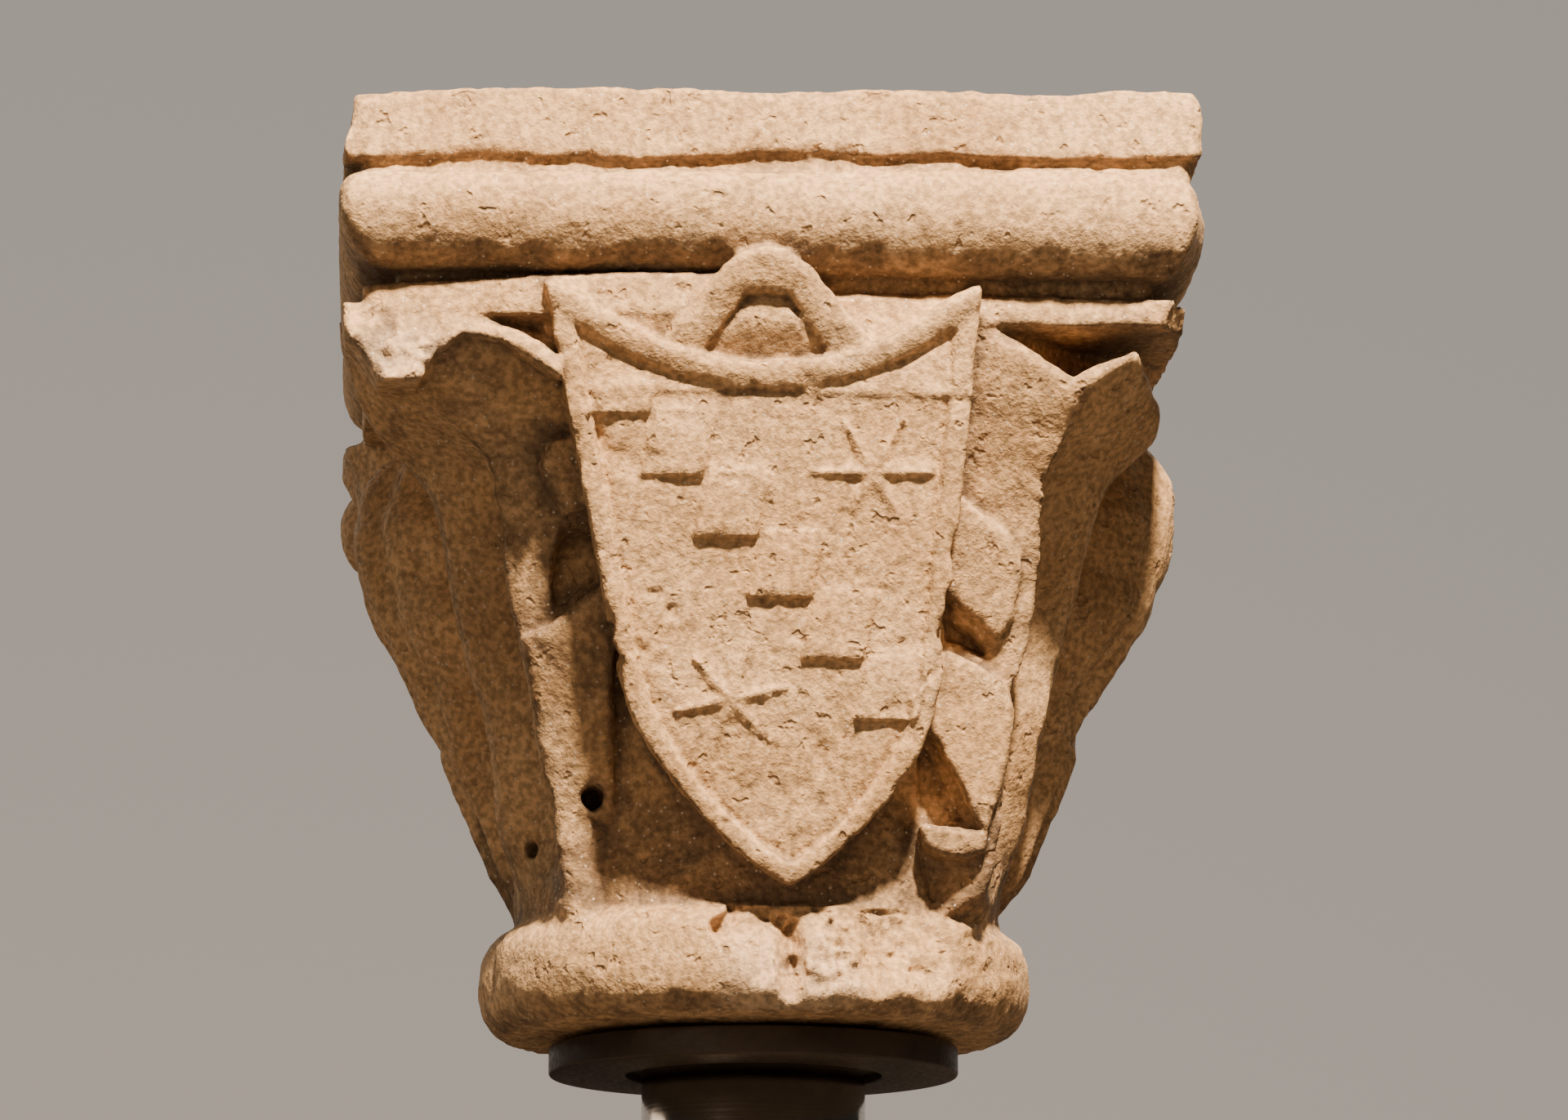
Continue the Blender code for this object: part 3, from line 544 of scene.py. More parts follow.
@dataclass
class CornerLeaf(Form):
    """One corner's leaf: a ridge on the diagonal, a broad wing in front and a ribbed wing at the side."""

    side_x: int = 1
    side_y: int = -1
    bell: Bell = field(default_factory=Bell)
    state: Leaf = Leaf.WHOLE
    wing_proud: float = 2.0
    inner_edge: float = 58.0
    foot_h: float = 24.0
    top_h: float = 239.0
    front_limit: float = 136.0
    side_limit: float = 151.0
    STEM = (
        (36, 69), (41, 69.7), (60, 71.8), (87, 76), (110, 81), (126, 86), (147, 90.5), (166, 94.7),
        (181, 99.5),
    )
    BROKEN = (
        (181, 0), (192, 1.5), (197, 5), (201, 9.5), (207, 16), (212, 21), (216, 25), (224, 32),
        (239, 38),
    )
    CURLED = (
        (181, 0), (192, 1.5), (197, 6), (201, 12), (207, 20), (212, 26.5), (216, 32), (224, 37.5),
        (239, 40),
    )
    NOTCHED = (
        (24, 64), (30, 68), (36, 72), (45, 76.5), (56, 79.5),
        (68, 81.7), (99, 85.4), (122, 88.1), (153, 92.9),
        (180, 98.0), (200, 100.4), (213, 104), (239, 109),
    )
    FRONT_EXTRA = ((60, 0), (122, 4), (150, 8), (178, 13), (200, 20), (214, 25), (225, 28))
    SIDE_EXTRA = ((206, 0), (213, 2), (220, 9), (226, 15), (232, 18))
    RIBS = (
        (0, 0), (3, -3.5), (7, -11), (12, -14), (18, -11), (25, 1),
        (31, 7), (38, 7), (44, 2), (50, -8), (60, -24),
    )
    UPPER = ((0, 0), (8, 6), (20, 13), (35, 19), (50, 17), (62, 8), (76, -8), (90, -26))

    def __post_init__(self) -> None:
        """Set the box that holds the leaf."""
        near, far = 30.0, 150.0
        xs = sorted((self.side_x * near, self.side_x * far))
        ys = sorted((self.side_y * near, self.side_y * far))
        self.low, self.high = (xs[0], ys[0], self.foot_h), (xs[1], ys[1], self.top_h)

    def ridge(self, h: Array) -> Array:
        """Return how far out the ridge stands along both faces.

        Args:
            h: their heights.

        Returns:
            The reach at each height.
        """
        if self.state is Leaf.NOTCHED:
            return stations(h, *self.NOTCHED)
        tip = self.BROKEN if self.state is Leaf.BROKEN_TIP else self.CURLED
        return stations(h, *self.STEM) + stations(h, *tip)

    def ridge_reach(self, h: Array, ridge: Array) -> Array:
        """Return how far out the ridge stands on the shield's face, more where the lip is notched.

        Args:
            h: their heights.
            ridge: how far out the ridge stands there.

        Returns:
            The reach at each height.
        """
        if self.state is not Leaf.NOTCHED:
            return ridge
        return ridge + stations(h, *self.FRONT_EXTRA)

    def bell_reach(self, along: Array, h: Array) -> Array:
        """Return how far out the bell's own face stands at a place along it.

        Args:
            along: place along the face, from the middle.
            h: their heights.

        Returns:
            The reach at each place.
        """
        half, power = self.bell.half_width(h), self.bell.squareness(h)
        inside = np.clip(1.0 - (np.minimum(np.abs(along), 0.98 * half) / half) ** power, 0.0, 1.0)
        return half * inside ** (1.0 / power)

    def front_wing(self, along: Array, h: Array, ridge: Array) -> Array:
        """Return how far out the wing on the shield's face stands.

        Args:
            along: place along the face, from the middle.
            h: height.
            ridge: how far out the ridge stands at that height.

        Returns:
            The wing's reach.
        """
        inner = self.bell_reach(np.full_like(h, self.inner_edge), h) + self.wing_proud * ease(50.0, 110.0, h)
        share = (ridge - along) / (ridge - self.inner_edge)
        proud = self.ridge_reach(h, ridge)
        within = np.clip(share, 0.0, 1.0)
        reach = proud + (inner - proud) * within + 2.0 * np.sin(pi * within)
        return np.minimum(reach - 40.0 * np.clip(share - 1.0, 0.0, 1.0), self.front_limit)

    def side_wing(self, back: Array, h: Array, ridge: Array) -> Array:
        """Return how far out the wing on the side face stands.

        Args:
            back: how far the point lies behind the ridge.
            h: height.
            ridge: how far out the ridge stands at that height.

        Returns:
            The wing's reach.
        """
        half = self.bell.half_width(h)
        grow = ease(42.0, 80.0, h)
        curl = ease(182.0, 215.0, h)
        wave = 3.0 * np.sin(h / 13.0)
        profile = stations(back + wave * (1.0 - curl), *self.RIBS)
        upper = stations(back, *self.UPPER)
        share = np.clip(back / 45.0, 0.0, 1.0)
        base = ridge + (half - ridge) * share
        return np.minimum(base + profile * grow * (1.0 - curl) + upper * curl, self.side_limit)

    def shape(self, cloud: Cloud) -> Array:
        """Return the distance to the leaf.

        Args:
            cloud: the points.

        Returns:
            The distance of each point, less than zero inside.
        """
        along, out = self.side_x * cloud.x, self.side_y * cloud.y
        h = cloud.h
        ridge = self.ridge(h)
        front = out - self.front_wing(along, h, ridge)
        back = self.ridge_reach(h, ridge) - out
        if self.state is Leaf.NOTCHED:
            ridge = ridge + stations(h, *self.SIDE_EXTRA) * ease(70.0, 30.0, back)
        side = along - self.side_wing(back, h, ridge)
        body = 0.75 * soft_max(front, side, 1.6)
        core = np.maximum(40.0 - along, 30.0 - out)
        body = np.maximum(body, np.maximum(core, np.maximum(self.foot_h - h, h - self.top_h)))
        if self.state is Leaf.NOTCHED:
            body = soft_max(body, -self.hollow(along, out, h), 6.0)
        return body

    @staticmethod
    def hollow(along: Array, out: Array, h: Array) -> Array:
        """Return the distance to the hollow above the notched lip, which is cut into the bell too.

        Args:
            along: place along the front face.
            out: how far out from the axis.
            h: height.

        Returns:
            Less than zero where stone is gone.
        """
        diagonal, across = (along + out) / 1.4142, np.abs(along - out) / 1.4142
        lip = 219.5 + 0.60 * np.maximum(103.0 - along, 0.0) + 0.50 * np.clip(along - 103.0, 0.0, 20.0)
        lip = lip - 1.0 * np.maximum(along - 125.0, 0.0) - 0.30 * np.maximum(96.0 - out, 0.0) * (along > out)
        return np.maximum(0.75 * (lip - h), np.maximum(143.0 + 0.15 * across - diagonal, h - 237.0))


@dataclass
class Lobe(Form):
    """One lobe of a wing on the shield's face, given by its outline and by how far out it stands."""

    outline: list = field(default_factory=list)
    reach: list = field(default_factory=list)
    lean: float = 0.0
    edge: float = 3.0

    def __post_init__(self) -> None:
        """Set the box that holds the lobe."""
        across, up = zip(*self.outline)
        self.far = max(reach for _, reach in self.reach)
        self.low, self.high = (min(across), -self.far - 8.0, min(up)), (max(across), -60.0, max(up))

    def shape(self, cloud: Cloud) -> Array:
        """Return the distance to the lobe, whose edge is rounded.

        Args:
            cloud: the points.

        Returns:
            The distance of each point, less than zero inside.
        """
        middle = 0.5 * (self.low[0] + self.high[0])
        reach = stations(cloud.h, *self.reach) + self.lean * (cloud.x - middle)
        aside = outline_distance(cloud.x, cloud.h, self.outline)
        return np.maximum(soft_max(0.85 * (-cloud.y - reach), aside, self.edge), cloud.y + self.far - 30.0)


@dataclass
class SideLeaf(Form):
    """The bulging leaf in the middle of a side face, with lobes and a stepped underside."""

    side_x: int = 1
    peak: float = 156.0
    centre_y: float = 0.0
    low_h: float = 97.0
    top_h: float = 214.0
    half_width: float = 37.0
    knobs: float = 1.0
    stem: float = 0.0
    back: float = 88.0
    floor: float = 110.0
    rough: Roughness = field(default_factory=lambda: Roughness(23))
    BULGE = (
        (0, 0), (0.14, 0.22), (0.30, 0.46), (0.48, 0.76), (0.64, 0.96), (0.74, 1.0), (0.88, 0.93),
        (1.0, 0.70),
    )
    WIDTH = ((0, 0.42), (0.2, 0.72), (0.45, 1.0), (0.75, 1.0), (1.0, 0.66))
    STEM = ((36, 80), (47, 85), (61, 94.5), (83, 103.5), (104, 112), (120, 112))

    def __post_init__(self) -> None:
        """Set the box that holds the leaf."""
        xs = sorted((self.side_x * 70.0, self.side_x * self.peak))
        self.low = (xs[0], self.centre_y - self.half_width - 6.0, 36.0)
        self.high = (xs[1], self.centre_y + self.half_width + 6.0, self.top_h)

    def shape(self, cloud: Cloud) -> Array:
        """Return the distance to the lobed bulge.

        Args:
            cloud: the points.

        Returns:
            The distance of each point, less than zero inside.
        """
        out, across, h = self.side_x * cloud.x, cloud.y - self.centre_y, cloud.h
        share = np.clip((h - self.low_h) / (self.top_h - self.low_h), 0.0, 1.0)
        reach = self.floor + (self.peak - self.floor) * stations(share, *self.BULGE)
        width = self.half_width * stations(share, *self.WIDTH)
        lobes = 3.5 * np.abs(np.sin(share * 3.5 * pi))
        side = np.abs(across) / (width + lobes)
        crown = np.sqrt(np.clip(1.0 - side**2.2, 0.0, 1.0))
        beside = (np.abs(across) - 0.55 * width) / 4.0
        vein = 5.0 * np.exp(-((across / 4.0) ** 2)) + 4.0 * np.exp(-(beside**2))
        knob = self.knobs * 2.5 * self.rough.at(cloud, 16.0, 0.7)
        surface = out - (self.back + (reach - self.back) * crown - vein + knob)
        edge = np.abs(across) - width - lobes
        body = soft_max(0.7 * surface, edge, 5.0)
        body = soft_max(body, np.maximum(self.low_h - 0.25 * np.abs(across) - h, h - self.top_h), 4.0)
        reach = stations(h, *self.STEM) + self.stem * ease(40.0, 60.0, h)
        bow = reach - 9.0 * (across / 17.0) ** 2 + 1.5 * np.cos(0.55 * across)
        stem = np.maximum(0.7 * (out - bow), np.maximum(np.abs(across) - 24.0, h - 120.0))
        return soft_min(body, stem, 2.0)


@dataclass
class Curl(Form):
    """The rolled-over tip of a back leaf."""

    centre: tuple = (0.0, 0.0, 0.0)
    radii: tuple = (15.0, 15.0, 20.0)

    def __post_init__(self) -> None:
        """Set the box that holds the curl."""
        self.enclose(self.centre, self.radii)

    def shape(self, cloud: Cloud) -> Array:
        """Return the distance to an egg-shaped knob.

        Args:
            cloud: the points.

        Returns:
            The distance of each point, less than zero inside.
        """
        away = cloud.away(self.centre)
        spread = np.sqrt(sum((part / radius) ** 2 for part, radius in zip(away, self.radii)))
        return (spread - 1.0) * min(self.radii)


@dataclass
class Shield(Form):
    """A shield with a raised rim; the front one also has a stepped band and two stars."""

    side_y: int = -1
    charged: bool = True
    tip_reach: float = 98.0
    tip_h: float = 44.0
    run: float = 46.0
    rise: float = 204.0
    width: float = 75.5
    round_height: float = 74.0
    round_width: float = 56.2
    dip: float = 28.1
    lean: float = 12.3
    thickness: float = 20.0
    rim: float = 7.2
    rim_rise: float = 2.0
    top_rim: float = 10.3
    top_rim_rise: float = 3.2
    horn_worn: float = 0.8
    wear: float = 1.6
    rough: Roughness = field(default_factory=lambda: Roughness(37))

    def __post_init__(self) -> None:
        """Set the slope, the outline and the box that holds the shield."""
        self.height = hypot(self.run, self.rise)
        self.right, self.top, self.left = self.edges()
        ys = sorted((self.side_y * 70.0, self.side_y * (self.tip_reach + self.run + 4.0)))
        self.low, self.high = (-84.0, ys[0], self.tip_h - 6.0), (84.0, ys[1], self.tip_h + self.rise + 4.0)

    def edges(self) -> tuple[list, list, list]:
        """Return the right edge from the tip up, the hollow top edge and the left edge down to the tip.

        Returns:
            The three edges, as places across and up the shield.
        """
        slope = (self.width - self.round_width) / (self.height - self.round_height)
        right = []
        for step in range(19):
            up = self.height * (step / 18) ** 1.5
            remaining = 1.0 - min(up / self.round_height, 1.0)
            straight = self.round_width + slope * (up - self.round_height)
            right.append((straight * (1.0 - remaining * remaining) ** 0.8, up))
        top = []
        for step in range(15):
            across = self.width * (1.0 - 2.0 * step / 14)
            top.append((across, self.height - self.dip * max(1.0 - (across / (0.94 * self.width)) ** 2, 0.0)))
        left = [(-across, up) for across, up in reversed(right)]
        return self.leaned(right), self.leaned(top), self.leaned(left)

    def leaned(self, points: list[tuple[float, float]]) -> list[tuple[float, float]]:
        """Lean a line of points to the left, as the shield hangs."""
        return [(across - self.lean * (up / self.height - 0.55), up) for across, up in points]

    def shape(self, cloud: Cloud) -> Array:
        """Return the distance to the shield.

        Args:
            cloud: the points.

        Returns:
            The distance of each point, less than zero inside.
        """
        across = cloud.x if self.side_y < 0 else -cloud.x
        behind = self.side_y * cloud.y - self.tip_reach
        height = cloud.h - self.tip_h
        up = (behind * self.run + height * self.rise) / self.height
        out = (behind * self.rise - height * self.run) / self.height
        worn = 1.1 * self.rough.at(cloud, 9.0, 0.3) + 0.6 * self.rough.at(cloud, 4.0, 2.2)
        outline = outline_distance(across, up, self.right + self.top + self.left) + 0.45 * worn
        outline = soft_max(outline, up - self.height + self.horn_worn + 0.5 * worn, 2.5)
        outline = outline + self.chipped(cloud, across, up)
        to_side = np.minimum(*[polyline_distance(across, up, edge) for edge in (self.right, self.left)])
        to_top = polyline_distance(across, up, self.top)
        side_rim = self.rim_rise * ease(self.rim + 1.2, self.rim - 0.8, to_side)
        top_rim = self.top_rim_rise * ease(self.top_rim + 0.8, self.top_rim - 0.8, to_top)
        top_rim -= 0.05 * (to_top - 4.0) ** 2 * (to_top < self.top_rim)
        relief = np.maximum(side_rim, top_rim) - self.rim_rise
        relief -= 0.7 * ease(1.3, 0.2, np.abs(np.minimum(to_top - self.top_rim, to_side - self.rim) - 1.2))
        if self.charged:
            relief = relief + self.charges(across, up) + self.pits(cloud)
        face = out - relief
        body = soft_max(face, outline, self.wear)
        return np.maximum(body, -self.thickness - out)

    def chipped(self, cloud: Cloud, across: Array, up: Array) -> Array:
        """Return how far small chips bite into the shield's edge, mostly half way down each side.

        Args:
            cloud: the points.
            across: places across the shield.
            up: places up the shield.

        Returns:
            The depth of the chips at each point.
        """
        if not self.charged:
            return np.zeros_like(across)
        left = (across < 0) * ease(16.0, 6.0, np.abs(up - 84.0))
        right = (across > 0) * ease(28.0, 12.0, np.abs(up - 100.0))
        bite = 1.6 + 2.4 * self.rough.at(cloud, 6.0, 3.7) + 1.4 * self.rough.at(cloud, 3.0, 6.1)
        return 0.9 * np.maximum(left, right) * np.clip(bite, 0.0, 4.5)

    def charges(self, across: Array, up: Array) -> Array:
        """Return how far the band of blocks and the stars rise from the field.

        Args:
            across: places across the shield.
            up: places up the shield.

        Returns:
            The rise at each point.
        """
        relief = np.zeros(across.shape, np.float32)
        for index in range(6):
            left, base = -65.5 + 18.7 * index, 161.8 - 20.8 * index
            tall = 12.0 if index == 0 else 23.6
            slid = across - left - 0.22 * (up - base)
            inside = np.minimum(np.minimum(slid, 21.4 - slid), np.minimum(up - base, base + tall - up))
            rise = 2.1 - 1.1 * np.clip((up - base) / tall, 0.0, 1.0)
            relief = np.maximum(relief, rise * ease(-0.6, 0.5, inside))
        stars = ((33.4, 143.2, 1.55, 21.5), (-14.6, 64.5, 1.35, 20.5))
        for centre, rise, turn, radius in stars:
            off_x, off_y = across - centre, up - rise
            reach = np.hypot(off_x, off_y)
            angle = np.arctan2(off_x, off_y) - turn
            sector = np.abs((angle + pi / 6) % (pi / 3) - pi / 6)
            aside, forward = reach * np.sin(sector), reach * np.cos(sector)
            half = 3.0 * np.clip(1.0 - forward / radius, 0.0, 1.0) + 0.8
            ray = 1.8 * np.clip(1.0 - aside / half, 0.0, 1.0) * (forward < radius)
            relief = np.maximum(relief, ray * ease(-4.0, 6.0, up - rise + 14.0))
        return relief

    def pits(self, cloud: Cloud) -> Array:
        """Return the pits and the scaled patches of the field, all below it.

        Args:
            cloud: the points.

        Returns:
            A depth of zero or less at each point.
        """
        coarse, fine = self.rough.at(cloud, 6.5, 4.4), self.rough.at(cloud, 3.6, 8.1)
        patch = ease(0.0, 0.5, self.rough.at(cloud, 28.0, 1.4))
        return -1.1 * patch * ease(0.25, 0.75, coarse) - 0.7 * ease(0.45, 0.85, fine)


@dataclass
class Strap(Form):
    """The strap that the shield hangs by, an arch whose knot meets the roll."""

    back: float = 122.0
    half_band: float = 5.6
    rough: Roughness = field(default_factory=lambda: Roughness(41))
    OUTER = (
        (-44, 222), (-41.5, 227), (-20, 252), (-13, 257.5),
        (-5, 259.5), (4, 258), (11, 252.5), (30.6, 230.3),
        (34, 225),
    )
    INNER = ((17, 221), (3.5, 242), (-11, 242), (-26, 222))
    REACH = (
        (205, 136.5), (224, 138.5), (231, 141.5), (242, 145.5), (250, 148.5), (257, 150.8),
        (262, 151.4),
    )

    def __post_init__(self) -> None:
        """Set the box that holds the strap."""
        self.low, self.high = (-48.0, -152.0, 205.0), (38.0, -self.back, 265.0)

    def shape(self, cloud: Cloud) -> Array:
        """Return the distance to the two legs and the knot.

        Args:
            cloud: the points.

        Returns:
            The distance of each point, less than zero inside.
        """
        out = -cloud.y
        band = outline_distance(cloud.x, cloud.h, list(self.OUTER + self.INNER))
        band += 0.5 * self.rough.at(cloud, 7.0, 0.9)
        reach = stations(cloud.h, *self.REACH)
        bow = reach - 0.05 * np.clip(band + self.half_band, 0.0, 9.0) ** 2
        return np.maximum(soft_max(band, 0.8 * (out - bow), 1.8), self.back - out)


@dataclass
class Pocket(Form):
    """A pocket cut between lobes of a leaf on the shield's face, given by its outline on that face."""

    outline: list = field(default_factory=list)
    floor: float = 96.0
    ceiling: float = 150.0
    flare: float = 0.25

    def __post_init__(self) -> None:
        """Set the box that holds the pocket."""
        across, up = zip(*self.outline)
        self.low, self.high = (min(across), -self.ceiling, min(up)), (max(across), -self.floor, max(up))

    def shape(self, cloud: Cloud) -> Array:
        """Return the distance to the pocket's hollow.

        Args:
            cloud: the points.

        Returns:
            The distance of each point, less than zero inside.
        """
        out = -cloud.y
        narrower = self.flare * np.clip(self.floor + 14.0 - out, 0.0, 14.0)
        return np.maximum(outline_distance(cloud.x, cloud.h, self.outline) + narrower, self.floor - out)


@dataclass
class NotchHollow(Form):
    """The dark hollow between the notched leaf's lip and the fillet."""

    def __post_init__(self) -> None:
        """Set the box that holds the hollow."""
        self.low, self.high = (60.0, -150.0, 205.0), (150.0, -60.0, 238.0)

    def shape(self, cloud: Cloud) -> Array:
        """Return the distance to the hollow, which leaves the lip itself standing."""
        return CornerLeaf.hollow(cloud.x, -cloud.y, cloud.h)


@dataclass
class Drilling(Form):
    """A round drilled hole."""

    centre: tuple = (0.0, 0.0, 0.0)
    axis: tuple = (0.0, -1.0, 0.0)
    radius: float = 3.6
    depth: float = 16.0

    def __post_init__(self) -> None:
        """Set the box that holds the hole."""
        self.enclose(self.centre, (self.depth,) * 3)

    def shape(self, cloud: Cloud) -> Array:
        """Return the distance to a rod along the hole.

        Args:
            cloud: the points.

        Returns:
            The distance of each point, less than zero inside.
        """
        away = cloud.away(self.centre)
        along = sum(part * axis for part, axis in zip(away, self.axis))
        square = sum(part * part for part in away) - along * along
        return np.maximum(np.sqrt(np.maximum(square, 0.0)) - self.radius, np.abs(along) - self.depth)


@dataclass
class Break(Form):
    """Stone knocked off beyond a rough plane, inside a ball round the damage."""

    centre: tuple = (0.0, 0.0, 0.0)
    facing: tuple = (0.0, 0.0, 1.0)
    radius: float = 20.0
    roughness: float = 2.0
    rough: Roughness = field(default_factory=lambda: Roughness(53))

    def __post_init__(self) -> None:
        """Set the box that holds the damage."""
        self.enclose(self.centre, (self.radius,) * 3)

    def shape(self, cloud: Cloud) -> Array:
        """Return the distance to the part that is gone.

        Args:
            cloud: the points.

        Returns:
            The distance of each point, less than zero inside.
        """
        length = hypot(*self.facing)
        away = cloud.away(self.centre)
        depth = sum(part * axis for part, axis in zip(away, self.facing)) / length
        ball = np.sqrt(sum(part * part for part in away)) - self.radius
        uneven = self.rough.at(cloud, 14.0, 0.2) + 0.6 * self.rough.at(cloud, 6.0, 4.0)
        uneven = uneven + 0.35 * self.rough.at(cloud, 3.0, 6.0)
        return np.maximum(-depth + self.roughness * uneven, ball)


@dataclass
class CarvedStone:
    """The whole block: all carved forms united, pockets and damage taken off, and the surface worn."""

    bell: Bell = field(default_factory=Bell)
    wear: Roughness = field(default_factory=lambda: Roughness(71))

    leaf_blend: float = 2.5
    pocket_blend: float = 1.2
    lobe_blend: float = 1.5
    crisp_blend: float = 0.8
    highest: float = 316.9
    furthest_right: float = 153.6
    furthest: float = 151.6
    tip: tuple = (-129.0, -139.0, 221.0)

    def __post_init__(self) -> None:
        """Lay out the carved forms."""
        self.soft = [
            CornerLeaf(-1, -1, self.bell, Leaf.BROKEN_TIP),
            CornerLeaf(1, -1, self.bell, Leaf.NOTCHED),
            CornerLeaf(-1, 1, self.bell),
            CornerLeaf(1, 1, self.bell),
            SideLeaf(-1, 147.0, 4.0, knobs=0.5),
            SideLeaf(1, 155.0, -6.0, top_h=222.0, stem=4.0),
            Curl((-134.0, 127.0, 213.0), (17.5, 15.0, 20.0)),
            Curl((134.0, 127.0, 213.0), (16.0, 15.0, 20.0)),
            Curl((140.5, -9.0, 205.0), (9.5, 11.0, 8.5)),
            Curl((143.0, -7.0, 189.0), (9.5, 12.0, 8.5)),
            Curl((140.5, -9.0, 173.0), (9.0, 11.0, 8.0)),
        ]
        self.pockets = [
            Pocket(
                [
                    (-58, 149), (-64, 146.5), (-70, 141), (-77, 138.5),
                    (-79, 150), (-76.5, 162), (-73, 170), (-58, 171),
                ],
                92.0,
            ),
            Pocket([(-104, 238.5), (-78, 238.5), (-77, 225), (-89, 230), (-101, 235)], 122.0, 150.0, 0.6),
            Pocket(
                [
                    (58, 129), (58, 146), (65, 141), (72, 136.5),
                    (77.5, 129.5), (76.8, 122.5), (70, 126.3), (64, 129.2),
                ],
                88.0,
            ),
            Pocket([(50, 69), (73.5, 67.5), (66.8, 80.8), (61, 92), (57, 97), (50, 104)], 76.0),
            NotchHollow(),
        ]
        self.lobes = [
            Lobe(
                [
                    (-150, 241), (-149, 226), (-144.5, 222), (-137, 212),
                    (-124, 211), (-117, 220), (-108, 227.5),
                    (-95, 225.5), (-79, 215.5), (-74, 213), (-74, 221),
                    (-88, 230.5), (-103, 236), (-104, 241),
                ],
                [(211, 141), (226, 139.5), (237, 135.5), (241, 134)], 0.0, 2.5,
            ),
            Lobe(
                [(-87, 132), (-77, 136.5), (-64, 146), (-54, 150), (-52, 58), (-74, 58)],
                [(58, 69), (84, 79.5), (112, 90), (133, 99), (150, 105)], 0.26, 4.0,
            ),
            Lobe(
                [(-82, 188), (-77, 196), (-64, 199), (-60, 174), (-73, 171), (-78, 180)],
                [(170, 110), (199, 122)], 0.10,
            ),
            Lobe(
                [
                    (60, 182), (70, 175.5), (81, 167), (88, 156),
                    (84, 138), (78.5, 129), (72, 137.5), (65, 142),
                    (57, 147),
                ],
                [(127, 98), (182, 116.5)], -0.10,
            ),
            Lobe(
                [
                    (50, 128), (63, 127), (71, 124), (81, 118.5),
                    (85.5, 108), (84, 92), (80.5, 78), (77.5, 69),
                    (76, 60), (70, 56.5), (61, 57.5), (54, 60),
                    (52, 68.5), (73.5, 67), (66.8, 80.8), (61, 92),
                    (57, 97), (50, 104),
                ],
                [(58, 84), (90, 91.5), (126, 99.5)], -0.10, 2.5,
            ),
        ]
        self.crisp = [Shield(), Shield(1, charged=False), Strap()]
        self.ring = NeckRing()
        self.abacus = Abacus()
        self.breaks = [
            Drilling((-61.0, -76.0, 78.0), (0.0, -1.0, 0.0), 3.7, 16.0),
            Drilling((-84.0, -48.0, 64.0), (-0.7, -0.7, 0.0), 2.6, 10.0),
            Drilling((134.0, -18.0, 116.0), (0.9, -0.43, 0.0), 3.6, 16.0),
            Break((-147.0, -147.0, 316.0), (-1.0, -0.6, 1.0), 14.0, 1.6),
            Break((147.0, -147.0, 312.0), (1.0, -0.4, 1.0), 20.0, 1.6),
            Break((-150.0, -150.0, 275.0), (-1.0, -0.5, -0.1), 18.0, 2.6),
            Break((149.0, -149.0, 272.0), (1.0, -0.4, -0.3), 20.0, 2.2),
            Break((138.0, -134.0, 243.0), (1.0, -0.5, -0.4), 17.0, 2.0),
            Break((-97.0, -20.0, 22.0), (-1.0, -0.5, 0.3), 12.0, 1.6),
            Break((91.0, -40.0, 12.0), (1.0, -0.5, -0.5), 13.0, 2.0),
        ]

    def distance(self, cloud: Cloud, worn: bool = True) -> Array:
        """Return the distance of each point to the stone.

        Args:
            cloud: the points.
            worn: whether the fine wear is added.

        Returns:
            Distances in millimetres, less than zero in the stone.
        """
        body = self.bell.distance(cloud)
        for form in self.soft:
            body = soft_min(body, form.distance(cloud), self.leaf_blend)
        low = (cloud.h < 64.0) & (cloud.y < -40.0)
        if low.any():
            foot = cloud.take(low)
            body[low] = np.maximum(body[low], self.ring.broken(foot, np.hypot(foot.x, foot.y)))
        for form in self.pockets:
            body = soft_max(body, -form.distance(cloud), self.pocket_blend)
        for form in self.lobes:
            body = soft_min(body, form.distance(cloud), self.lobe_blend)
        for form in self.crisp:
            body = soft_min(body, form.distance(cloud), self.crisp_blend)
        body = soft_min(body, self.abacus.distance(cloud), self.lobe_blend)
        body = soft_min(body, self.ring.distance(cloud), self.leaf_blend)
        for form in self.breaks:
            body = soft_max(body, -form.distance(cloud), self.crisp_blend)
        if worn:
            body = body + self.weathering(cloud)
        body = np.maximum(body, np.maximum(-cloud.h, cloud.h - self.highest))
        across = np.maximum(cloud.x - self.furthest_right, -self.furthest - cloud.x)
        return np.maximum(body, np.maximum(across, np.abs(cloud.y) - self.furthest))

    def weathering(self, cloud: Cloud) -> Array:
        """Return how far the surface is worn back, with waves, dents and pits.

        Args:
            cloud: the points.

        Returns:
            The wear at each point, in millimetres.
        """
        wave = 0.55 * self.wear.at(cloud, 34.0, 0.1) + 0.35 * self.wear.at(cloud, 13.0, 2.7)
        dents = 0.34 * self.wear.at(cloud, 5.5, 5.9) + 0.26 * self.wear.at(cloud, 2.4, 9.4)
        lumps = 1.7 * self.wear.at(cloud, 11.0, 3.3) + 1.6 * self.wear.at(cloud, 5.0, 7.7)
        lumps = lumps + 1.2 * self.wear.at(cloud, 2.6, 1.1)
        broken = np.minimum(1.6 * cloud.nearness(self.tip, (19.0, 12.0, 12.0)), 1.0) * (lumps + 0.6)
        return wave + dents + broken + 0.35


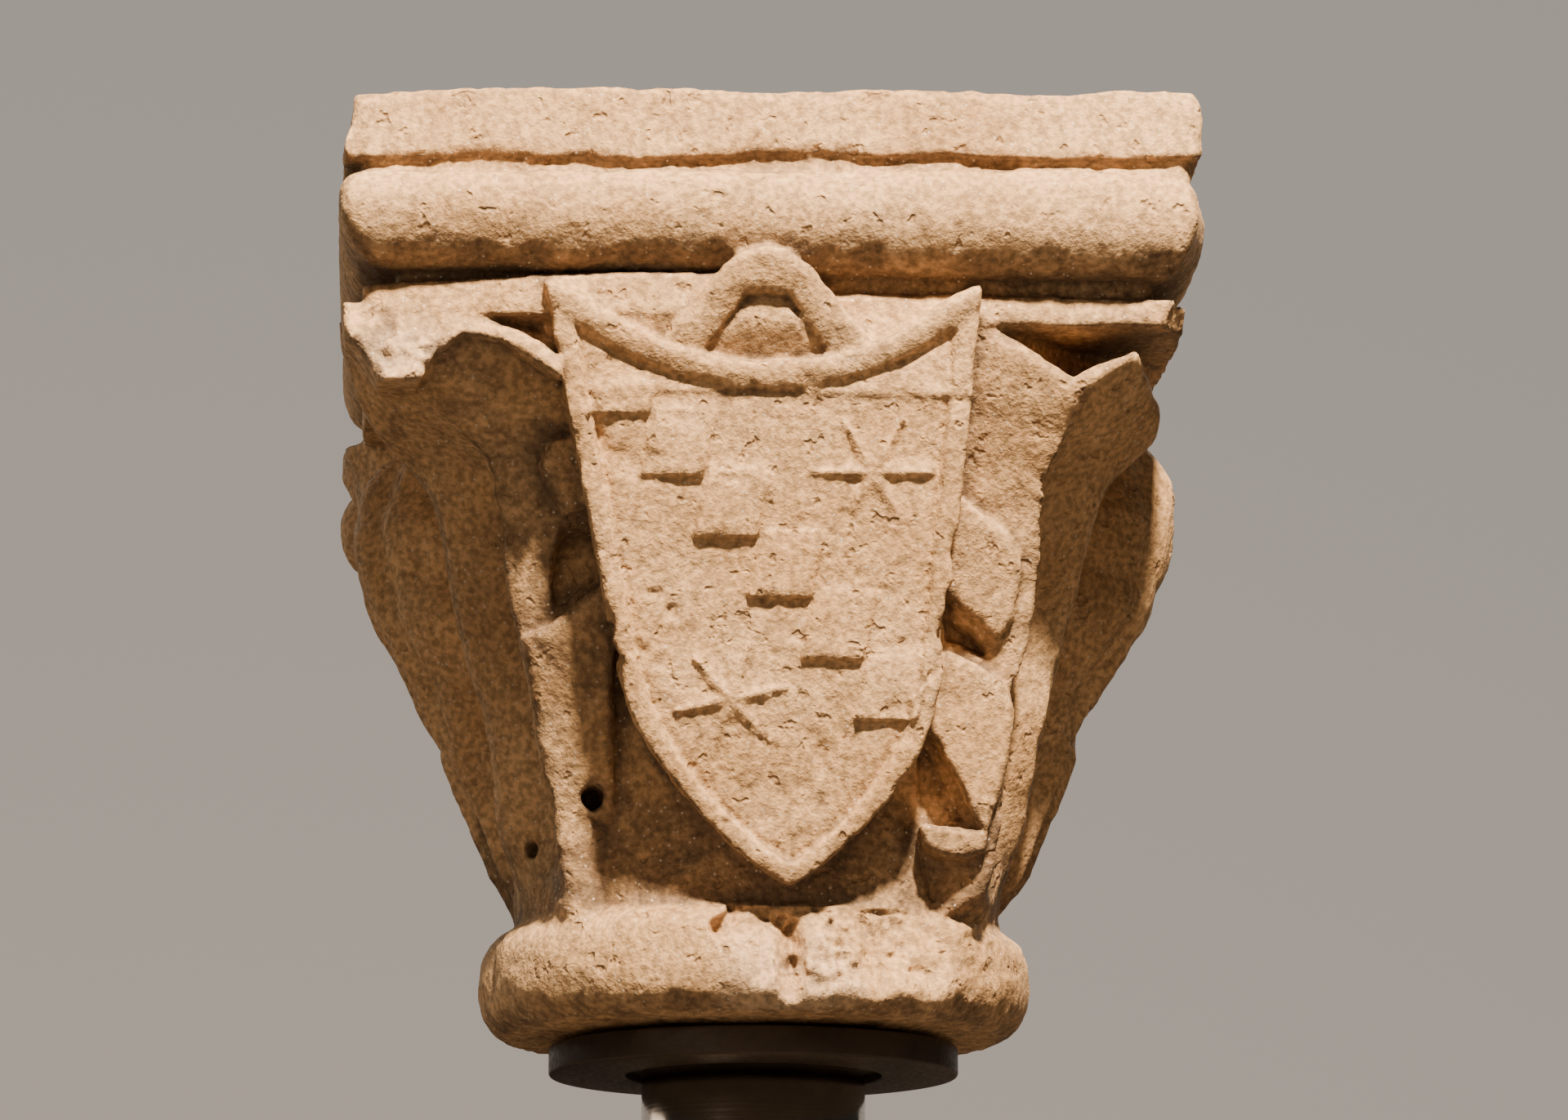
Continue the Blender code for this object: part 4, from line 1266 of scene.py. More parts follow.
@dataclass
class Carver:
    """Follows the surface of the stone on a lattice that is fine only near it, and makes a mesh."""

    stone: CarvedStone
    pitch: float
    half: float = 160.0
    top: float = 328.0
    below: float = 5.0
    levels: int = 3
    far: float = 4.0
    batch: int = 400000

    def lattice(self) -> tuple[Array, Array]:
        """Work out the distance at lattice points near the surface.

        Returns:
            The lattice of distances and its lowest corner.
        """
        size = self.pitch * 2**self.levels
        counts = [int(np.ceil(reach / size)) for reach in (2 * self.half, 2 * self.half, self.top)]
        origin = np.array([-self.half, -self.half, -self.below], np.float32)
        cells, offsets = [np.indices(sizes).reshape(3, -1).T for sizes in (counts, (2, 2, 2))]
        shape = tuple(count * 2**self.levels for count in counts)
        values = np.full(shape, self.far, np.float32)
        for level in range(self.levels):
            cloud = Cloud.of(origin + (cells + 0.5) * size, 1.8 * size + 6.0)
            distance = self.stone.distance(cloud, worn=False)
            near = np.abs(distance) < 1.15 * size + 3.2
            step = 2 ** (self.levels - level)
            for x, y, z in cells[(~near) & (distance < 0)] * step:
                values[x:x + step, y:y + step, z:z + step] = -self.far
            cells = (cells[near][:, None, :] * 2 + offsets[None, :, :]).reshape(-1, 3)
            size *= 0.5
        for start in range(0, len(cells), self.batch):
            part = cells[start:start + self.batch]
            cloud = Cloud.of(origin + part * self.pitch, 5.0)
            values[part[:, 0], part[:, 1], part[:, 2]] = self.stone.distance(cloud)
        LOG.info("lattice of %s with %d points near the surface", shape, len(cells))
        return values, origin

    def mesh(self) -> tuple[Array, Array]:
        """Follow the surface through the lattice.

        Returns:
            The points in millimetres and the four-sided faces between them.
        """
        values, origin = self.lattice()
        solid = values < 0.0
        count = np.zeros(tuple(size - 1 for size in values.shape), np.int8)
        corners = [(x, y, z) for x in (0, 1) for y in (0, 1) for z in (0, 1)]
        ends = [slice(0, -1), slice(1, None)]
        for x, y, z in corners:
            count += solid[ends[x], ends[y], ends[z]]
        cells = np.argwhere((count > 0) & (count < 8))
        index = np.full(count.shape, -1, np.int32)
        index[cells[:, 0], cells[:, 1], cells[:, 2]] = np.arange(len(cells))
        at_corner = {corner: values[tuple((cells + corner).T)] for corner in corners}
        total, crossings = np.zeros((len(cells), 3), np.float32), np.zeros(len(cells), np.float32)
        for first in corners:
            for axis in range(3):
                if first[axis]:
                    continue
                second = tuple(1 if place == axis else value for place, value in enumerate(first))
                start, end = at_corner[first], at_corner[second]
                cut = (start < 0) != (end < 0)
                share = np.where(cut, start / np.where(cut, start - end, 1.0), 0.0)
                for place in range(3):
                    total[:, place] += cut * (first[place] + (share if place == axis else 0.0))
                crossings += cut
        points = origin + (cells + total / crossings[:, None]) * self.pitch
        faces = [self.faces_across(axis, solid, index) for axis in range(3)]
        return points, np.concatenate(faces)

    @staticmethod
    def faces_across(axis: int, solid: Array, index: Array) -> Array:
        """Join the points round each lattice edge that enters or leaves the stone.

        Args:
            axis: the direction of the edges.
            solid: whether each lattice point is in the stone.
            index: number of the surface point in each cell.

        Returns:
            Four-sided faces that look out of the stone.
        """
        moved = np.moveaxis(solid, axis, 0)
        numbers = np.moveaxis(index, axis, 0)
        change = moved[:-1, 1:-1, 1:-1] != moved[1:, 1:-1, 1:-1]
        spots = np.argwhere(change)
        a, b, c = spots[:, 0], spots[:, 1] + 1, spots[:, 2] + 1
        steps = ((1, 1), (0, 1), (0, 0), (1, 0))
        quads = np.stack([numbers[a, b - first, c - second] for first, second in steps], 1)
        leaves = moved[a, b, c]
        flip = leaves if axis != 1 else ~leaves
        quads[~flip] = quads[~flip][:, ::-1]
        return quads


# Finishes


class Nodes:
    """Adds and links shader nodes with few words."""

    def __init__(self, tree: NodeTree) -> None:
        """Keep the tree.

        Args:
            tree: where the nodes go.
        """
        self.tree = tree

    def add(self, kind: str, **values: object) -> bpy.types.Node:
        """Add a node and set its own properties.

        Args:
            kind: the kind of node.
            values: its own properties.

        Returns:
            The node.
        """
        node = self.tree.nodes.new(kind)
        for name, value in values.items():
            setattr(node, name, value)
        return node

    def link(self, source: Socket, target: Socket) -> None:
        """Link two sockets."""
        self.tree.links.new(source, target)

    def put(self, target: Socket, value: object) -> None:
        """Link a socket to the target, or set the target's value.

        Args:
            target: what it goes to.
            value: a socket or a plain value.
        """
        if isinstance(value, Socket):
            self.link(value, target)
        else:
            target.default_value = value

    @staticmethod
    def dial(node: bpy.types.Node, values: dict[str, object]) -> None:
        """Set the values of a node's own sockets."""
        for name, value in values.items():
            node.inputs[name].default_value = value

    def noise(self, vector: object, scale: object, detail: float = 4.0, roughness: float = 0.55) -> Socket:
        """Add a noise texture and return its value.

        Args:
            vector: where the noise is read.
            scale: how fine it is.
            detail: how many layers it has.
            roughness: how strong the fine layers are.

        Returns:
            The noise, from 0 to 1.
        """
        node = self.add("ShaderNodeTexNoise")
        self.put(node.inputs["Vector"], vector)
        self.put(node.inputs["Scale"], scale)
        self.dial(node, {"Detail": detail, "Roughness": roughness})
        return node.outputs["Fac"]

    def ramp(self, value: object, low: float, high: float, start: float = 0.0, end: float = 1.0) -> Socket:
        """Map a value from one span to another, smoothly and clamped.

        Args:
            value: what is mapped.
            low: value at the start.
            high: value at the end.
            start: result at the start.
            end: result at the end.

        Returns:
            The mapped value.
        """
        node = self.add("ShaderNodeMapRange", interpolation_type="SMOOTHSTEP")
        self.put(node.inputs["Value"], value)
        self.dial(node, {"From Min": low, "From Max": high, "To Min": start, "To Max": end})
        return node.outputs["Result"]

    def math(self, operation: str, first: object, second: object = 0.0) -> Socket:
        """Add a maths node and return its value.

        Args:
            operation: the operation.
            first: the first input.
            second: the second input.

        Returns:
            The result.
        """
        node = self.add("ShaderNodeMath", operation=operation)
        self.put(node.inputs[0], first)
        self.put(node.inputs[1], second)
        return node.outputs[0]

    def mix(self, factor: object, first: object, second: object, mode: str = "MIX") -> Socket:
        """Mix two colours and return the result.

        Args:
            factor: share of the second input.
            first: the first input.
            second: the second input.
            mode: how they are mixed.

        Returns:
            The mixed colour.
        """
        node = self.add("ShaderNodeMix", data_type="RGBA", blend_type=mode)
        self.put(node.inputs["Factor"], factor)
        self.put(node.inputs["A"], first)
        self.put(node.inputs["B"], second)
        return node.outputs["Result"]

    def blend(self, factor: object, first: object, second: object) -> Socket:
        """Mix two shaders and return the result.

        Args:
            factor: share of the second input.
            first: the first input.
            second: the second input.

        Returns:
            The mixed shader.
        """
        node = self.add("ShaderNodeMixShader")
        for socket, source in zip(node.inputs, (factor, first, second)):
            self.link(source, socket)
        return node.outputs[0]


def grain_group() -> NodeTree:
    """Build the shared group of fine grain and specks.

    Returns:
        A group that gives cloudy patches, grain, specks and pits at the scales that are put in.
    """
    group = bpy.data.node_groups.new("grain and specks", "ShaderNodeTree")
    scales = (("Patch Scale", 18.0), ("Grain Scale", 420.0), ("Speck Scale", 700.0), ("Pit Scale", 160.0))
    for name, value in scales:
        socket = group.interface.new_socket(name, in_out="INPUT", socket_type=NUMBER_SOCKET)
        socket.default_value = value
    for name in ("Patches", "Grain", "Specks", "Pits"):
        group.interface.new_socket(name, in_out="OUTPUT", socket_type=NUMBER_SOCKET)
    nodes = Nodes(group)
    inlet, outlet = nodes.add("NodeGroupInput"), nodes.add("NodeGroupOutput")
    place = nodes.add("ShaderNodeTexCoord").outputs["Object"]
    nodes.link(nodes.noise(place, inlet.outputs["Patch Scale"], 6.0, 0.62), outlet.inputs["Patches"])
    nodes.link(nodes.noise(place, inlet.outputs["Grain Scale"], 3.0, 0.5), outlet.inputs["Grain"])
    pits = nodes.noise(place, inlet.outputs["Pit Scale"], 2.0, 0.5)
    specks = nodes.add("ShaderNodeTexVoronoi")
    nodes.link(place, specks.inputs["Vector"])
    nodes.link(inlet.outputs["Speck Scale"], specks.inputs["Scale"])
    colour = nodes.add("ShaderNodeSeparateColor")
    nodes.link(specks.outputs["Color"], colour.inputs[0])
    close = nodes.ramp(specks.outputs["Distance"], 0.45, 0.15)
    chosen = nodes.ramp(colour.outputs[0], 0.90, 0.97)
    nodes.link(nodes.math("MULTIPLY", close, chosen), outlet.inputs["Specks"])
    nodes.link(nodes.ramp(pits, 0.62, 0.74), outlet.inputs["Pits"])
    return group


class Dressing:
    """A material in the making: its nodes, its shader, the place on the piece and the shared grain."""

    def __init__(self, name: str, grain: NodeTree) -> None:
        """Start the material.

        Args:
            name: the material's name.
            grain: the shared group of grain and specks.
        """
        self.material = bpy.data.materials.new(name)
        self.material.use_nodes = True
        self.nodes = Nodes(self.material.node_tree)
        self.shader = self.material.node_tree.nodes["Principled BSDF"]
        self.place = self.nodes.add("ShaderNodeTexCoord").outputs["Object"]
        self.fine = self.nodes.add("ShaderNodeGroup", node_tree=grain).outputs

    def finish(
        self, colour: Socket, rough: Socket, height: Socket, strength: float, distance: float
    ) -> Material:
        """Link what changes over the surface to the shader.

        Args:
            colour: the surface's colour.
            rough: its roughness.
            height: its relief.
            strength: how strongly the relief shows.
            distance: how high the relief is, in metres.

        Returns:
            The finished material.
        """
        bump = self.nodes.add("ShaderNodeBump")
        self.nodes.dial(bump, {"Strength": strength, "Distance": distance})
        self.nodes.link(height, bump.inputs["Height"])
        sources = {"Base Color": colour, "Roughness": rough, "Normal": bump.outputs["Normal"]}
        for name, source in sources.items():
            self.nodes.link(source, self.shader.inputs[name])
        return self.material


@dataclass(frozen=True)
class MarbleFinish:
    """Old crystalline marble: warm cream with painted shade in hollows, and stains, crystals and pits."""

    light: tuple = (0.80, 0.545, 0.305, 1.0)
    body: tuple = (0.65, 0.415, 0.21, 1.0)
    stain: tuple = (0.37, 0.22, 0.115, 1.0)
    # colour of the painted shade in hollows, under overhangs, at the neck and on the left front leaf
    hollow: tuple = (0.14, 0.100, 0.070, 1.0)
    fresh: tuple = (0.81, 0.64, 0.46, 1.0)
    crystal: tuple = (0.92, 0.84, 0.72, 1.0)

    def material(self, grain: NodeTree) -> Material:
        """Build the marble.

        Args:
            grain: the shared group of grain and specks.

        Returns:
            The material.
        """
        dressing = Dressing("worn marble", grain)
        nodes, place, fine = dressing.nodes, dressing.place, dressing.fine
        nodes.dial(dressing.shader, {"Specular IOR Level": 0.42})
        # the mesh's mark of painted shade: hollows, faces looking down, the neck and the left front leaf
        painted_shade = nodes.add("ShaderNodeAttribute", attribute_name="painted_shade").outputs["Fac"]
        broken = nodes.add("ShaderNodeAttribute", attribute_name="broken").outputs["Fac"]
        colour = nodes.mix(nodes.ramp(fine["Patches"], 0.36, 0.66), self.body, self.light)
        stained = nodes.math("MULTIPLY", nodes.ramp(nodes.noise(place, 7.0, 7.0, 0.65), 0.52, 0.70), 0.45)
        colour = nodes.mix(stained, colour, self.stain)
        dotted = nodes.noise(place, 95.0, 5.0, 0.7)
        colour = nodes.mix(nodes.ramp(dotted, 0.56, 0.74, 0.0, 0.55), colour, self.stain)
        # painted shade: the mark, varied a little by dotted noise, darkens the colour towards the hollow
        # colour
        deep = nodes.math("ADD", painted_shade, nodes.ramp(dotted, 0.3, 0.7, -0.16, 0.16))
        colour = nodes.mix(nodes.ramp(deep, 0.22, 0.90, 0.0, 0.82), colour, self.hollow)
        colour = nodes.mix(nodes.math("MULTIPLY", broken, 0.40), colour, self.fresh)
        tint = nodes.add("ShaderNodeCombineColor")
        grain_tone = nodes.ramp(fine["Grain"], 0.30, 0.70, 0.64, 1.26)
        for socket in tint.inputs[:3]:
            nodes.put(socket, grain_tone)
        colour = nodes.mix(1.0, colour, tint.outputs[0], "MULTIPLY")
        colour = nodes.mix(nodes.math("MULTIPLY", fine["Specks"], 0.75), colour, self.crystal)
        colour = nodes.mix(nodes.math("MULTIPLY", fine["Pits"], 0.40), colour, self.stain)
        dull = nodes.ramp(fine["Patches"], 0.3, 0.7, 0.62, 0.82)
        rough = nodes.math("SUBTRACT", dull, nodes.math("MULTIPLY", fine["Specks"], 0.45))
        height = nodes.math("MULTIPLY", fine["Grain"], 0.55)
        height = nodes.math("ADD", height, nodes.math("MULTIPLY", nodes.noise(place, 900.0, 2.0), 0.30))
        height = nodes.math("ADD", height, nodes.math("MULTIPLY", nodes.noise(place, 240.0, 4.0, 0.7), 0.80))
        height = nodes.math("SUBTRACT", height, nodes.math("MULTIPLY", fine["Pits"], 0.9))
        return dressing.finish(colour, rough, height, 0.80, 0.0010)


@dataclass(frozen=True)
class PaintFinish:
    """Dark brown paint on metal, scuffed to bare grey in a few places."""

    name: str = "worn dark paint"
    paint: tuple = (0.030, 0.021, 0.016, 1.0)
    dusty: tuple = (0.075, 0.056, 0.042, 1.0)
    bare: tuple = (0.42, 0.36, 0.29, 1.0)
    wear: float = 0.5

    def material(self, grain: NodeTree) -> Material:
        """Build the paint.

        Args:
            grain: the shared group of grain and specks.

        Returns:
            The material.
        """
        dressing = Dressing(self.name, grain)
        nodes, fine = dressing.nodes, dressing.fine
        colour = nodes.mix(nodes.ramp(fine["Patches"], 0.40, 0.70), self.paint, self.dusty)
        scuff = nodes.ramp(nodes.noise(dressing.place, 26.0, 6.0, 0.72), 0.66, 0.72, 0.0, self.wear)
        colour = nodes.mix(scuff, colour, self.bare)
        rough = nodes.ramp(fine["Grain"], 0.3, 0.7, 0.36, 0.54)
        return dressing.finish(colour, rough, fine["Grain"], 0.25, 0.0003)


@dataclass(frozen=True)
class SteelFinish:
    """Polished steel with faint turning marks and finger-dulled patches."""

    colour: tuple = (0.66, 0.60, 0.53, 1.0)
    dulled: tuple = (0.52, 0.47, 0.41, 1.0)

    def material(self, grain: NodeTree) -> Material:
        """Build the steel.

        Args:
            grain: the shared group of grain and specks.

        Returns:
            The material.
        """
        dressing = Dressing("polished steel", grain)
        nodes = dressing.nodes
        nodes.dial(dressing.shader, {"Metallic": 1.0})
        stretch = nodes.add("ShaderNodeMapping")
        nodes.dial(stretch, {"Scale": (8.0, 8.0, 900.0)})
        nodes.link(dressing.place, stretch.inputs["Vector"])
        marks = nodes.noise(stretch.outputs["Vector"], 1.0, 3.0)
        patches = nodes.ramp(dressing.fine["Patches"], 0.4, 0.7)
        colour = nodes.mix(patches, self.colour, self.dulled)
        dull = nodes.math("MULTIPLY", patches, 0.06)
        rough = nodes.math("ADD", nodes.ramp(marks, 0.3, 0.7, 0.12, 0.20), dull)
        return dressing.finish(colour, rough, marks, 0.08, 0.0002)


# Sub-assemblies


def add_mesh(name: str, points: Array, faces: Array, material: Material) -> Piece:
    """Make an object of points in millimetres and faces.

    Args:
        name: the object's name.
        points: one row for each point.
        faces: one row of point numbers for each face.
        material: its finish.

    Returns:
        The object, linked to the scene.
    """
    mesh = bpy.data.meshes.new(name)
    corners = faces.shape[1]
    mesh.vertices.add(len(points))
    mesh.vertices.foreach_set("co", np.ascontiguousarray(points, np.float32).ravel())
    mesh.loops.add(faces.size)
    mesh.loops.foreach_set("vertex_index", np.ascontiguousarray(faces, np.int32).ravel())
    mesh.polygons.add(len(faces))
    mesh.polygons.foreach_set("loop_start", np.arange(0, faces.size, corners, dtype=np.int32))
    mesh.update(calc_edges=True)
    mesh.materials.append(material)
    mesh.shade_smooth()
    piece = bpy.data.objects.new(name, mesh)
    bpy.context.scene.collection.objects.link(piece)
    return piece


@dataclass
class Capital:
    """The carved marble capital."""

    pitch: float = 1.05
    quick_pitch: float = 2.4
    most_triangles: int = 190000
    stone: CarvedStone = field(default_factory=CarvedStone)

    def build(self, finish: Material) -> Piece:
        """Carve the stone, thin its mesh and dress it.

        Args:
            finish: the marble.

        Returns:
            The carved piece.
        """
        pitch = self.pitch
        points, faces = Carver(self.stone, pitch).mesh()
        LOG.info("followed the surface: %d points", len(points))
        placed = points * MILLIMETRE
        placed[:, 2] += BED
        piece = add_mesh("carved_capital", placed, faces, finish)
        self.thin(piece)
        self.mark(piece)
        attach(piece, "root")
        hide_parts("marble_capital")
        return piece

    def thin(self, piece: Piece) -> None:
        """Reduce the mesh where it is flat, down to the most triangles.

        Args:
            piece: the carved piece.
        """
        triangles = 2 * len(piece.data.polygons)
        if triangles > self.most_triangles:
            thinner = piece.modifiers.new("thin", "DECIMATE")
            thinner.ratio = self.most_triangles / triangles
            graph = bpy.context.evaluated_depsgraph_get()
            mesh = bpy.data.meshes.new_from_object(piece.evaluated_get(graph))
            piece.modifiers.clear()
            old, piece.data = piece.data, mesh
            bpy.data.meshes.remove(old)
        piece.data.name = piece.name
        piece.data.shade_smooth()
        LOG.info("thinned to %d faces", len(piece.data.polygons))

    def mark(self, piece: Piece) -> None:
        """Mark on the mesh where shade is painted, and where the stone is freshly broken.

        Args:
            piece: the carved piece.
        """
        mesh = piece.data
        place, normals = [np.empty(len(mesh.vertices) * 3, np.float32) for _ in range(2)]
        mesh.vertices.foreach_get("co", place)
        mesh.vertices.foreach_get("normal", normals)
        place, normals = place.reshape(-1, 3), normals.reshape(-1, 3)
        place[:, 2] -= BED
        place /= MILLIMETRE
        painted_shade = np.zeros(len(place), np.float32)
        # painted shade in hollows: darker where little open space lies just off the surface
        for step, weight in ((2.5, 0.45), (6.0, 0.35), (13.0, 0.20)):
            clear = self.stone.distance(Cloud.of(place + normals * step, 18.0), worn=False)
            painted_shade += weight * np.clip(1.0 - clear / step, 0.0, 1.2)
        # painted shade under overhangs: darker where the surface faces down
        painted_shade += 0.46 * np.clip(-normals[:, 2] - 0.15, 0.0, 1.0)
        at = Cloud.of(place, 0.0)
        # painted shade at the front of the neck and on the left front leaf, where shadow falls
        low = ease(92.0, 52.0, at.h) * ease(-104.0, -92.0, at.y)
        left = ease(-50.0, -62.0, at.x) * ease(-40.0, -60.0, at.y)
        left = left * ease(218.0, 196.0, at.h) * (at.y > -118)
        painted_shade += np.maximum(0.42 * low, 0.20 * left) * ease(37.0, 43.0, at.h)
        broken = ease(-86.0, -92.0, at.y) * ease(-24.0, -8.0, at.x)
        broken = broken * ease(90.0, 82.0, at.x) * ease(42.0, 36.0, at.h)
        tip = at.nearness(self.stone.tip, (20.0, 13.0, 12.0))
        for name, values in (("painted_shade", painted_shade), ("broken", np.maximum(broken, tip))):
            layer = mesh.attributes.new(name, "FLOAT", "POINT")
            layer.data.foreach_set("value", values.astype(np.float32))


@dataclass
class Stand:
    """The plate, the tube and the foot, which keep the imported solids' shapes."""

    sides: int = 160

    def turned(self, name: str, profile: list[tuple[float, float]], finish: Material) -> Piece:
        """Turn a profile about the axis.

        Args:
            name: the piece's name.
            profile: (radius, height) in metres, from the axis below to the axis above.
            finish: its material.

        Returns:
            The turned piece.
        """
        angles = [tau * step / self.sides for step in range(self.sides)]
        mesh_data = bmesh.new()
        rings = [
            [mesh_data.verts.new((radius * cos(angle), radius * sin(angle), height)) for angle in angles]
            for radius, height in profile[1:-1]
        ]
        for lower, upper in zip(rings, rings[1:]):
            for step in range(self.sides):
                following = (step + 1) % self.sides
                mesh_data.faces.new((lower[step], lower[following], upper[following], upper[step]))
        for ring, (_, height), turn in ((rings[0], profile[0], -1), (rings[-1], profile[-1], 1)):
            centre = mesh_data.verts.new((0.0, 0.0, height))
            for step in range(self.sides):
                pair = (ring[step], ring[(step + 1) % self.sides])
                mesh_data.faces.new((*pair[::turn], centre))
        bmesh.ops.recalc_face_normals(mesh_data, faces=mesh_data.faces)
        mesh = bpy.data.meshes.new(name)
        mesh_data.to_mesh(mesh)
        mesh_data.free()
        mesh.materials.append(finish)
        mesh.shade_smooth()
        mesh.set_sharp_from_angle(angle=radians(35.0))
        piece = bpy.data.objects.new(name, mesh)
        bpy.context.scene.collection.objects.link(piece)
        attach(piece, "root")
        return piece

    @staticmethod
    def upper_edge(radius: float, height: float, rounding: float) -> list[tuple[float, float]]:
        """Return a rounded upper edge, from the side up to the top.

        Args:
            radius: radius of the side.
            height: height of the top.
            rounding: the edge's radius.

        Returns:
            Places on the profile, as radius and height.
        """
        turns = [0.5 * pi * step / 4 for step in range(5)]
        low, inner = height - rounding, radius - rounding
        return [(inner + rounding * cos(turn), low + rounding * sin(turn)) for turn in turns]

    def plate(self, finish: Material) -> Piece:
        """Turn the plate under the capital, with a rounded rim and a socket for the tube.

        Args:
            finish: its material.

        Returns:
            The plate.
        """
        low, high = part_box("support_disc")
        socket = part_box("post_tube")[1].x + 0.006
        deep, rounding = low.z + 0.003, 0.0012
        profile = [(0.0, deep), (socket, deep), (socket, low.z + 0.0005), (socket + 0.0005, low.z)]
        for step in range(5):
            turn = 0.5 * pi * step / 4
            profile.append((high.x - rounding + rounding * sin(turn), low.z + rounding * (1.0 - cos(turn))))
        profile += [*self.upper_edge(high.x, high.z, 0.0010), (0.0, high.z)]
        piece = self.turned("plate", profile, finish)
        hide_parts("support_disc")
        return piece

    def tube(self, finish: Material) -> Piece:
        """Turn the tube, with a narrow shadow line under the plate.

        Args:
            finish: its material.

        Returns:
            The tube.
        """
        low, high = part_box("post_tube")
        eased = [(high.x, high.z - 0.0009), (high.x - 0.0006, high.z)]
        profile = [(0.0, low.z), (high.x, low.z), *eased, (0.0, high.z)]
        piece = self.turned("tube", profile, finish)
        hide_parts("post_tube")
        return piece

    def foot(self, finish: Material) -> Piece:
        """Turn the round foot with an eased upper edge.

        Args:
            finish: its material.

        Returns:
            The foot.
        """
        low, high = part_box("foot_plate")
        profile = [(0.0, low.z), (high.x - 0.0005, low.z), (high.x, low.z + 0.0005)]
        profile += [*self.upper_edge(high.x, high.z, 0.002), (0.0, high.z)]
        piece = self.turned("foot", profile, finish)
        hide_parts("foot_plate")
        return piece


